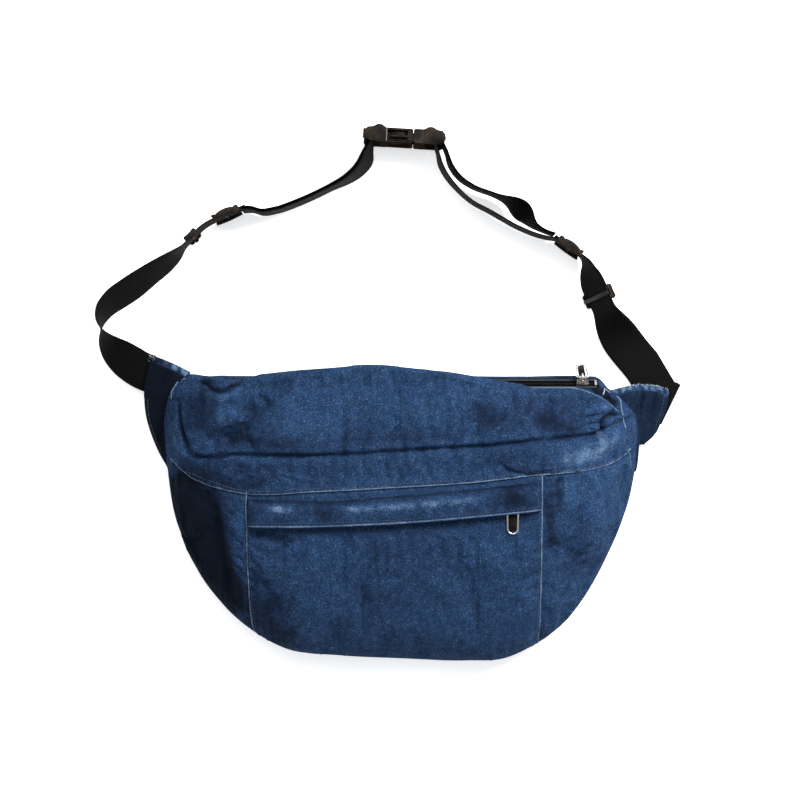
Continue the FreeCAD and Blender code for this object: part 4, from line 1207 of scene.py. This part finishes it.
def right_strap_sheet():
    """The right strap down to the pack, flat on the floor, folded up and back into its wing."""
    middle, across, _ = station_frames(RIGHT_STRAP)
    t = np.linspace(-1, 1, 15)
    run_part = middle[None] + across[None] * (t * WEB_WIDTH / 2)[:, None, None]
    end = run_part[:, -1]
    fold_line = FOLD_FOOT + (FOLD_TOP - FOLD_FOOT) * ((t + 1) / 2)[:, None]
    fold = np.column_stack([fold_line, np.full(len(t), end[0, 2])])
    steps = np.linspace(0, 1, 14)[1:]
    flat_part = end[:, None] * (1 - steps)[None, :, None] + fold[:, None] * steps[None, :, None]
    line = FOLD_TOP - FOLD_FOOT
    beyond = np.array([line[1], -line[0], 0.0]) / np.linalg.norm(line)
    radius = FOLD_RADIUS - WEB_THICK / 2
    bend = np.radians(np.linspace(0, 180, 15)[1:])
    arc = fold[:, None] + (beyond * radius)[None, None] * np.sin(bend)[None, :, None]
    arc = arc + np.array([0, 0, radius])[None, None] * (1 - np.cos(bend))[None, :, None]
    back = np.linspace(0, 1, 9)[1:]
    tail = arc[:, -1:] + np.array([-19.0, 1.6, 0.0])[None, None] * back[None, :, None]
    grid = np.concatenate([run_part, flat_part, arc, tail], axis=1)
    grid[..., 2] += 0.3 * slow_noise(grid[..., :2].reshape(-1, 2), 40, 5).reshape(grid.shape[:2]) \
        * smoothstep(np.arange(grid.shape[1]), run_part.shape[1], run_part.shape[1] + 8)
    normal = grid_normals(grid)
    points, faces = thick_sheet(grid + normal * WEB_THICK / 2, normal, WEB_THICK)
    uv = uv_grid(t * WEB_WIDTH / 2, lengths(grid[len(t) // 2]))
    piece = make_mesh("right_strap_lower", points, faces, WEBBING, None, np.vstack([uv, uv]),
                      nodes=("right_webbing", "right_webbing_anchor"))
    cloth(piece, [grid])
    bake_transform(piece)


right_strap_sheet()

# ---- wings --------------------------------------------------------------------------------

def along_curve(points, count):
    """Evenly spaced points on a smooth curve, as many as asked for."""
    return evenly(smooth_line(points, 0.5), count)


def wing_piece(name, node, seam, outer, mouth, seam_height, folds, shade, bulge, rub):
    """A side wing: two layers of denim closed round their rim, open at the mouth for the webbing.

    seam and outer run from the top to the bottom; outer carries the middle height of the wing,
    mouth is the part of its run where the layers stay apart. The top edge is worn, and at its outer
    end the wear is rub of what it is at the seam."""
    rows, columns = 46, 34
    inner_edge, outer_edge = along_curve(seam, rows), along_curve(outer, rows)
    u = np.linspace(0, 1, columns)
    v = np.linspace(0, 1, rows)
    grid = inner_edge[:, None, :2] * (1 - u)[None, :, None] + outer_edge[:, None, :2] * u[None, :, None]
    grid[..., 1] += bulge * np.sin(math.pi * u)[None] * ((1 - v)**2)[:, None]
    centre = seam_height[0] * (1 - u)[None] + outer_edge[:, 2][:, None] * u[None]
    half = seam_height[1] * (1 - u**0.8)[None] + 3.4 * (u**0.8)[None]
    rim = np.sqrt(smoothstep(v, -0.001, 0.07) * smoothstep(1 - v, -0.001, 0.09))[:, None]
    closed = 1 - window(v, mouth[0] - 0.05, mouth[0], mouth[1], mouth[1] + 0.06)
    outer_rim = np.sqrt(smoothstep(1 - u, -0.001, 0.16))[None]
    rim = rim * (outer_rim * closed[:, None] + (1 - closed)[:, None])
    upper = np.dstack([grid, centre + half * rim])
    lower = np.dstack([grid, np.maximum(centre - half * rim, 1.2)])
    work = Sculpt(upper, np.ones(rows * columns))
    for stroke in folds:
        work.stroke(*stroke)
    less_outward = 0.5 * (1 + rub) + 0.5 * (1 - rub) * np.cos(math.pi * u)
    rubbed = np.exp(-(v / 0.085)**2)[:, None] * less_outward[None]
    hem = np.exp(-((1 - u) / 0.09)**2)[None] * 0.4 + rubbed * 1.3
    plan = grid.reshape(-1, 2)
    rough, fleck = (slow_noise(plan, *settings).reshape(rows, columns) for settings in ((26, 31), (7, 4)))
    upper[..., 2] += work.move.reshape(rows, columns) * rim + 0.5 * rough * rim
    # shade paints shade over the whole wing, less along its worn top edge.
    tints = {"fade": np.clip(hem * (0.5 + 0.5 * fleck), 0, 1), "shade": shade * (1 - 0.85 * rubbed)}
    parts, values = [], {"fade": [], "shade": []}
    for layer, sign in ((upper, 1.0), (lower, -1.0)):
        normal = grid_normals(layer) * sign
        normal *= np.sign(normal[..., 2:] * sign + 1e-9)
        parts.append(thick_sheet(layer, normal, 1.1))
        for key in values:
            values[key].append(np.tile(tints[key].ravel(), 2))
    points, faces = joined([(p, f.tolist()) for p, f in parts])
    piece = make_mesh(name, points, faces, DENIM, values={k: np.concatenate(x) for k, x in values.items()},
                      nodes=(node,))
    cloth(piece, [upper, lower])
    return tree_of(upper)


def frayed_edge(name, points, seed, reach=3.2, count=46):
    """Loose pale yarns standing out of a raw edge."""
    chance = np.random.default_rng(seed)
    line = smooth_line(points, 0.5)
    parts = []
    for _ in range(count):
        start = line[chance.integers(1, len(line) - 1)]
        away = (chance.random(3) - (0.5, 0.25, 0.4)) * (1.0, 1.0, 0.9)
        away /= np.linalg.norm(away)
        size = reach * (0.35 + 0.65 * chance.random())
        curl = (chance.random(3) - 0.5) * size * 0.8
        t = np.linspace(0, 1, 5)[:, None]
        centre = start + away * size * t + curl * t * t
        normals = np.tile(np.cross(away, [0.3, 0.2, 0.9]), (5, 1))
        parts.append(ribbon(centre, normals / np.linalg.norm(normals[0]), 0.24, 0.2, 3))
    yarn_points, faces = joined(parts)
    return make_mesh(name, yarn_points, faces, STITCH)


# The left wing is painted with more shade than the right.
LEFT_WING = wing_piece(
    "left_wing_cloth", "left_wing",
    [(-201, 137.5), (-211, 127), (-214, 112), (-213, 92), (-209, 74), (-203, 60)],
    [(-237, 153.5, 19), (-242, 138, 15), (-246, 119, 10), (-244.5, 95, 9), (-239.5, 78, 9), (-232.5, 61, 8),
     (-224, 46, 7)],
    (0.02, 0.34), (17.0, 12.0),
    [("groove", [(-214, 138), (-222, 134), (-230, 126)], -2.4, 3.0),
     ("ridge", [(-212, 128), (-224, 124), (-236, 112)], 2.0, 5),
     ("groove", [(-218, 104), (-226, 88), (-230, 70)], -2.0, 4.5)], 1.25, 1.0, 0.3)
RIGHT_WING = wing_piece(
    "right_wing_cloth", "right_wing",
    [(199, 120.5), (203, 111), (205, 98), (207, 84), (212, 67)],
    [(253.5, 121.5, 13), (253.5, 113, 13), (250, 99, 12), (246, 88, 11), (240, 76.5, 10), (231, 68.5, 9)],
    (0.03, 0.72), (16.0, 11.0),
    [("groove", [(227, 126), (226.5, 112), (224, 98)], -4.0, 2.2),
     ("ridge", [(218, 124), (218, 108), (216, 94)], 1.6, 4),
     ("groove", [(240, 125), (238, 110), (233, 96)], -2.8, 3.0),
     ("ridge", [(246, 118), (244, 104), (238, 88)], 1.2, 4)], 0.68, 4.5, 0.9)
frayed_edge("left_wing_fray", [(-236, 152.5, 20), (-238.5, 151, 19), (-240, 146, 18)], 3, 4.2, 70)
frayed_edge("right_wing_fray", [(206, 122.5, 22), (222, 125, 17), (240, 124.6, 15), (253, 121.2, 15)],
            9, 1.4, 90)
seam_line("left_wing_seam_edge", [(-205, 139), (-209, 133.5), (-213, 126), (-217, 119), (-217.5, 112)],
          0.8, 0.6, pale=1.3)
seam_line("right_wing_seam_edge", [(205.5, 119), (206, 107), (206.5, 94), (208.5, 84)], 0.8, 0.6)
stitch_row("right_wing_stitches", [[(212, 118), (224, 120.5), (238, 119.5), (250, 117)],
                                   [(249, 115), (246, 100), (241, 86)]], DARK_STITCH, tree=RIGHT_WING)
stitch_row("left_wing_stitches", [[(-214, 138), (-224, 142.5), (-233, 146.5)],
                                  [(-242, 112), (-241, 96), (-235, 76), (-229, 62)]],
           DARK_STITCH, tree=LEFT_WING)

# ---- pocket welt --------------------------------------------------------------------------

SMOOTH_FRONT = tree_of(smooth_form[FRONT_ROW:ZIP_ROW])
WELT_LIFT = 6.1
POCKET_Y, POCKET_TILT = 14.0, math.radians(5.0)
SLIDER_CLEAR = 92.3            # height the band keeps over the pocket slider, at the zip's line


def welt_piece():
    """The stiff folded band over the pocket zip, sewn along its top and both ends."""
    columns, rows = 190, 26
    upper, lower = along_curve(WELT_UPPER, columns), along_curve(WELT_LOWER, columns)
    t = np.linspace(0, 1, rows)
    plan = upper[None] * (1 - t)[:, None, None] + lower[None] * t[:, None, None]
    laid, normals = drape(plan.reshape(-1, 2), 0.0, SMOOTH_FRONT)
    along = np.linspace(0, 1, columns)
    sewn = smoothstep(along, 0.0, 0.035) * smoothstep(1 - along, 0.0, 0.035)
    lift = 1.3 + WELT_LIFT * smoothstep(t, 0.02, 0.30)[:, None] * (0.12 + 0.88 * sewn)[None]
    wave = 0.7 * (1 + slow_noise(plan.reshape(-1, 2), 44, 15).reshape(rows, columns))
    lift = lift + wave * smoothstep(t, 0.1, 0.4)[:, None] * sewn[None]
    grid = (laid + normals * lift.reshape(-1, 1)).reshape(rows, columns, 3)
    over_slider = window(grid[..., 0], -100, -90, 110, 118)
    clear = SLIDER_CLEAR + (grid[..., 1] - POCKET_Y) * math.tan(POCKET_TILT)
    short = np.maximum(clear - grid[..., 2], 0) * over_slider * smoothstep(t, 0.0, 0.12)[:, None]
    grid[..., 2] += short
    work = Sculpt(grid, np.ones(rows * columns))
    work.stroke("groove", [(x, y - 4.2) for x, y in WELT_UPPER], -0.9, 1.2, 0.02)
    work.puckers(WELT_UPPER, 0.9, 13, 9, 17)
    work.tint([(-130, 11), (-111, 11.5), (-92, 9)], 0.85, 4.2, 0.4)
    work.tint([(-66, 9), (-40, 11), (-8, 13.5), (30, 16.5), (62, 20), (88, 24)], 0.62, 4.2, 0.2)
    work.tint([(-58, 12), (-50, 12.5), (-40, 13)], 0.3, 3.0, 0.45)
    work.tint([(-100, 1), (-84, 2), (-70, 3)], 0.3, 4.0, 0.45)
    # Painted shade in three patches on the band, and along its sewn top.
    for spot in ((-70, 8), (97, 24), (106, 20)):
        work.tint([(spot[0] - 8, spot[1] - 8), spot, (spot[0] + 6, spot[1] + 8)], -0.45, 9, 0.3)
    work.tint([(x, y - 1.2) for x, y in WELT_UPPER], -0.5, 1.5, 0.02)
    normal = -grid_normals(grid)
    normal *= np.sign(normal[..., 2:])
    grid = grid + normal * work.move.reshape(rows, columns, 1)
    points, faces = thick_sheet(grid, normal, 1.5)
    places = plan.reshape(-1, 2)
    patchy = 0.9 + 0.25 * slow_noise(places, 25, 51) + 0.2 * slow_noise(places, 9, 52)
    fade = np.tile(np.clip(work.light * np.clip(patchy, 0.4, 1.3), 0, 1), 2)
    # Painted shade: a little over the whole band, more where the tints above darken it.
    shade = np.tile(np.clip(work.dark + 0.12, 0, 1), 2)
    piece = make_mesh("pocket_welt_band", points, faces, DENIM, values={"fade": fade, "shade": shade},
                      nodes=("pocket_welt",))
    cloth(piece, [grid])
    return tree_of(grid)


WELT = welt_piece()
seam_line("welt_edge", [(x, y + 0.7) for x, y in WELT_LOWER], 0.8, 0.75, pale=0.75, tree=WELT)
stitch_row("welt_topstitch", [[(x, y + 3.4) for x, y in WELT_LOWER[:-1]] + [(125, 13)]],
           DARK_STITCH, tree=WELT)
stitch_row("welt_end_stitches", [[(-138, -3), (-138, 17)], [(124, 12), (124, 33)]], DARK_STITCH, tree=WELT)

# ---- zips and linings ---------------------------------------------------------------------

POCKET_FRAME = (np.array([0.0, POCKET_Y, 84.1]),
                np.array([0.0, math.cos(POCKET_TILT), math.sin(POCKET_TILT)]),
                np.array([0.0, -math.sin(POCKET_TILT), math.cos(POCKET_TILT)]))
TAPE_NEAR = 3.8              # from the middle of a chain to the near edge of its tapes
COIL_INSET = 2.5             # from the end of a tape to the first turn of the chain
# For each zip: its frame, the ends of its tapes, their far edge, and the names of its two sides.
ZIPS = {"main": (MAIN_FRAME, (-165, 181), 10.2, ("back", "front")),
        "pocket": (POCKET_FRAME, (-111, 111), 9.5, ("upper", "lower"))}


def tape(name, zip_frame, ends, near, far, node):
    """One woven zip tape, with the slight wave that sewing gives it."""
    x = np.linspace(ends[0], ends[1], 170)
    across = np.linspace(near, far, 7)
    wave = 0.10 * np.sin(x / 5.3)[None] * np.linspace(0.2, 1, 7)[:, None]
    grid = in_zip(zip_frame, x[None], across[:, None], wave - 0.25)
    normal = np.broadcast_to(zip_frame[2], grid.shape)
    points, faces = thick_sheet(grid, normal, 0.6)
    uv = uv_grid(across, x)[:, ::-1]
    make_mesh(name, points, faces, ZIP_TAPE, uv=np.vstack([uv, uv]), nodes=(node,))


def coil(name, zip_frame, ends, node, pitch=1.9):
    """Interlocked turns of the chain: one short rounded bar for each, from either side in turn."""
    parts = []
    for index, x in enumerate(np.arange(ends[0], ends[1], pitch / 2)):
        side = 1 if index % 2 else -1
        centre = in_zip(zip_frame, x, side * np.array([2.15, 0.9, -0.75]), np.array([-0.75, -0.2, -0.5]))
        parts.append(ribbon(centre, np.tile(zip_frame[2], (3, 1)), 0.42, 0.5, 3))
    points, faces = joined(parts)
    make_mesh(name, points, faces, COIL, nodes=(node,))


for name, (zip_frame, (start, stop), far, sides) in ZIPS.items():
    for side, near_edge, far_edge in ((sides[0], TAPE_NEAR, far), (sides[1], -far, -TAPE_NEAR)):
        tape(f"{name}_tape_{side}", zip_frame, (start, stop), near_edge, far_edge, f"{name}_zip_tape_{side}")
    coil(f"{name}_coil", zip_frame, (start + COIL_INSET, stop - COIL_INSET), f"{name}_zip_coil")


def lining_piece(name, grid, normal, node):
    points, faces = thick_sheet(grid, normal, 0.7)
    piece = make_mesh(name, points, faces, LINING, nodes=(node,))
    cloth(piece, [grid])


bag_rows = np.arange(BACK_TOP_ROW + 6, ZIP_ROW + form.shape[0] - 30) % form.shape[0]
inner_form = smooth_form - smooth_normal * 12.5
bag, bag_normal = inner_form[bag_rows][:, 10:-10], smooth_normal[bag_rows][:, 10:-10]
lining_piece("main_lining_bag", bag, bag_normal, "main_lining")
pocket_x, pocket_y = np.meshgrid(np.linspace(-125, 118, 60), np.linspace(1, -95, 30))
laid, laid_normal = drape(np.column_stack([pocket_x.ravel(), pocket_y.ravel()]), 0.0, SMOOTH_FRONT)
laid_shape = pocket_x.shape + (3,)
lining_piece("pocket_lining_sheet", (laid - laid_normal * 10.0).reshape(laid_shape),
             laid_normal.reshape(laid_shape), "pocket_lining")

tack, tack_normal = drape(smooth_line([(189, 125.4), (188.6, 121), (186, 116)], 0.8), 0.5)
tack_points, tack_faces = ribbon(tack, tack_normal, 0.5, 0.45)
make_mesh("zip_end_bar_tack", tack_points, tack_faces, STITCH)

# ---- strap hardware -----------------------------------------------------------------------

def local_axes(x, y, turn):
    """Origin at a slide's lower edge; axes along the strap, out of its face and up its width."""
    c, s = math.cos(math.radians(turn)), math.sin(math.radians(turn))
    return np.array([x, y, 0.0]), np.array([c, s, 0.0]), np.array([-s, c, 0.0]), np.array([0.0, 0.0, 1.0])


def bevelled(outline, low, high, bevel=0.8):
    """A solid on an outline, from low to high, with its rims rounded over."""
    outline = np.asarray(outline, float)
    run = unit(np.roll(outline, -1, axis=0) - np.roll(outline, 1, axis=0))
    inward = np.column_stack([-run[:, 1], run[:, 0]])
    after = np.roll(outline, -1, axis=0)
    if np.sum(outline[:, 0] * after[:, 1] - outline[:, 1] * after[:, 0]) < 0:
        inward = -inward
    rows = []
    for angle in np.radians([90, 60, 30, 0]):
        rows.append(np.column_stack([outline + inward * bevel * (1 - math.cos(angle)),
                                     np.full(len(outline), low + bevel * (1 - math.sin(angle)))]))
    rows += [np.column_stack([row[:, :2], low + high - row[:, 2]]) for row in rows[::-1]]
    index = np.arange(len(rows) * len(outline)).reshape(len(rows), len(outline))
    beside_it = np.roll(index, -1, axis=1)
    quads = np.stack([index[:-1], beside_it[:-1], beside_it[1:], index[1:]], axis=-1).reshape(-1, 4)
    return np.vstack(rows), quads.tolist() + [index[0, ::-1].tolist(), index[-1].tolist()]


def oval(centre, half_x, half_y, count=20, power=0.6):
    angle = ring(count)
    return np.column_stack([centre[0] + half_x * squared_off(np.cos(angle), power),
                            centre[1] + half_y * squared_off(np.sin(angle), power)])


def arched_rail(length):
    """Outline of a tri-glide's arched side: full in the middle, thin at both ends."""
    t = np.linspace(-1, 1, 25)
    top = np.column_stack([t * length / 2, -0.6 + 5.0 * np.maximum(1 - t**2, 0)**0.75])
    bottom = np.column_stack([t[::-1] * length / 2, -2.6 - 0.6 * (1 - t[::-1]**2)])
    return np.vstack([top[::-1], bottom[::-1]])


def dog_bone():
    """Outline of a keeper's end: two rounded lobes with a waist between them."""
    angle = ring(40)
    x = 7.3 * np.cos(angle)
    y = 0.6 + np.sin(angle) * (2.4 + 1.5 * np.exp(-((np.abs(x) - 5.6) / 2.2)**2))
    return np.column_stack([x, y])


SLIDE_WIDTH = 46.0
RAIL_HIGH = 3.0


def slide_piece(name, node, body, axes, rail, bars, low=0.0):
    """A tri-glide or keeper: a rail at each side and the bars between them."""
    high = low + SLIDE_WIDTH
    parts = [bevelled(rail, low, low + RAIL_HIGH), bevelled(rail, high - RAIL_HIGH, high)]
    for x, side in bars:
        parts.append(bevelled(oval((x, side * 2.4), 2.0, 1.0), low + 1.5, high - 1.5, 0.2))
    points, faces = joined(parts)
    origin, along, face, across = axes
    points = origin + points[:, :1] * along + points[:, 1:2] * face + points[:, 2:] * across
    make_mesh(name, points, faces, PLASTIC, body, nodes=(node,))


TRIGLIDE_BARS = [(-11.3, 1), (0, -1), (11.3, 1)]
KEEPER_BARS = [(-4.9, 1), (4.9, 1), (0, -1)]
for name, shape, place_and_turn, rail, bars in (
        ("left_triglide", "arched", (-166.0, 286.0, 24.0), arched_rail(27.0), TRIGLIDE_BARS),
        ("left_keeper", "rounded", (-198.0, 265.3, 46.0), dog_bone(), KEEPER_BARS),
        ("right_triglide", "arched", (158.0, 255.2, -36.0), arched_rail(27.0), TRIGLIDE_BARS)):
    slide_piece(f"{name}_{shape}", name, name, local_axes(*place_and_turn), rail, bars)
# The right keeper lies square to the strap's run between two of its stations, and leans with it.
keeper_along = unit(np.array([192 - 180, 195.6 - 222.5, 0.0]))
keeper_turn, keeper_tilt = math.radians(66), math.radians(28)
outward = np.array([math.sin(keeper_turn), math.cos(keeper_turn), 0.0])
keeper_across = outward * math.sin(keeper_tilt) + np.array([0, 0, math.cos(keeper_tilt)])
keeper_across = unit(keeper_across - keeper_along * keeper_across.dot(keeper_along))
keeper_axes = (np.array([186.0, 209.05, 22.6516]), keeper_along, np.cross(keeper_across, keeper_along),
               keeper_across)
slide_piece("right_keeper_rounded", "right_keeper", "right_keeper", keeper_axes, dog_bone(), KEEPER_BARS,
            low=-SLIDE_WIDTH / 2)


def buckle_solid(name, outline, low, high, body, material=PLASTIC, bevel=0.9):
    """A solid on the buckle, drawn in the buckle's own plan."""
    points, faces = bevelled(outline, low, high, bevel)
    turned = np.array([buckle_point(x, y) for x, y in points[:, :2]])
    return make_mesh(name, np.column_stack([turned, points[:, 2]]), faces, material, body)


LEFT_COLLAR = [(-37.5, -1), (-36, -4.6), (-33, -6.4), (-28, -6.6), (-16.8, -6.6), (-16.8, 6.6), (-18.5, 7.6),
               (-20.5, 8.8), (-23, 9.2), (-25.5, 8.8), (-27.5, 7.4), (-30, 6.6), (-34, 6.0), (-36.6, 3)]
RIGHT_COLLAR = [(-x + 2.5, y) for x, y in LEFT_COLLAR[::-1]]
for low, high, where in ((42.5, 46.8, "upper"), (0.0, 3.5, "lower")):
    buckle_solid("socket_collar_" + where, LEFT_COLLAR, low, high, "pack")
    buckle_solid("plug_collar_" + where, RIGHT_COLLAR, low, high, "right_strap")
# A painted highlight: a pale strip down the right edge of the socket's collar.
buckle_solid("socket_highlight_strip", oval((-15.9, 0), 0.55, 6.2, 16, 0.4), 40.0, 46.9, "pack", HIGHLIGHT_GREY, 0.2)
buckle_solid("socket_rib", oval((-3.5, -1.4), 9.5, 1.0, 16, 0.4), 45.5, 46.7, "pack", PLASTIC, 0.3)


# ---- pull inserts -------------------------------------------------------------------------

def pull_insert(name, origin, lean, body):
    """The glossy black inlay that fills a wire pull, in the loop's own plane."""
    t = np.linspace(0, math.pi, 13)
    round_end = [(3.2 * math.cos(a), -19.2 - 3.2 * math.sin(a)) for a in t]
    outline = [(-3.2, -2.4)] + round_end[::-1] + [(3.2, -2.4)]
    points, faces = bevelled(outline, -0.45, 0.45, 0.25)
    turn = math.radians(lean)
    y = points[:, 1] * math.cos(turn) - points[:, 2] * math.sin(turn)
    z = points[:, 1] * math.sin(turn) + points[:, 2] * math.cos(turn)
    return make_mesh(name, np.column_stack([points[:, 0], y, z]) + origin, faces, INLAY, body)


pull_insert("pocket_pull_inlay", np.array([101.0, 13.678, 87.786]), 3.0, "pocket_loop")
pull_insert("main_pull_inlay", np.array([167.5, 132.575, 58.545]), 117.0, "main_loop")

# ---- the frame's own nodes ----------------------------------------------------------------

NODE_MATERIALS = {
    "denim": DENIM, "lining_cloth": LINING, "zip_tape": ZIP_TAPE, "zip_coil": COIL, "zip_metal": SLIDER_METAL,
    "pull_wire": WIRE_METAL, "webbing": WEBBING, "buckle_plastic": PLASTIC}
for entry in frame["record"]["subparts"]:
    node = frame["nodes"][entry["node"]]
    for index in range(len(node.material_slots)):
        node.material_slots[index].material = NODE_MATERIALS[entry["material_slot"]]
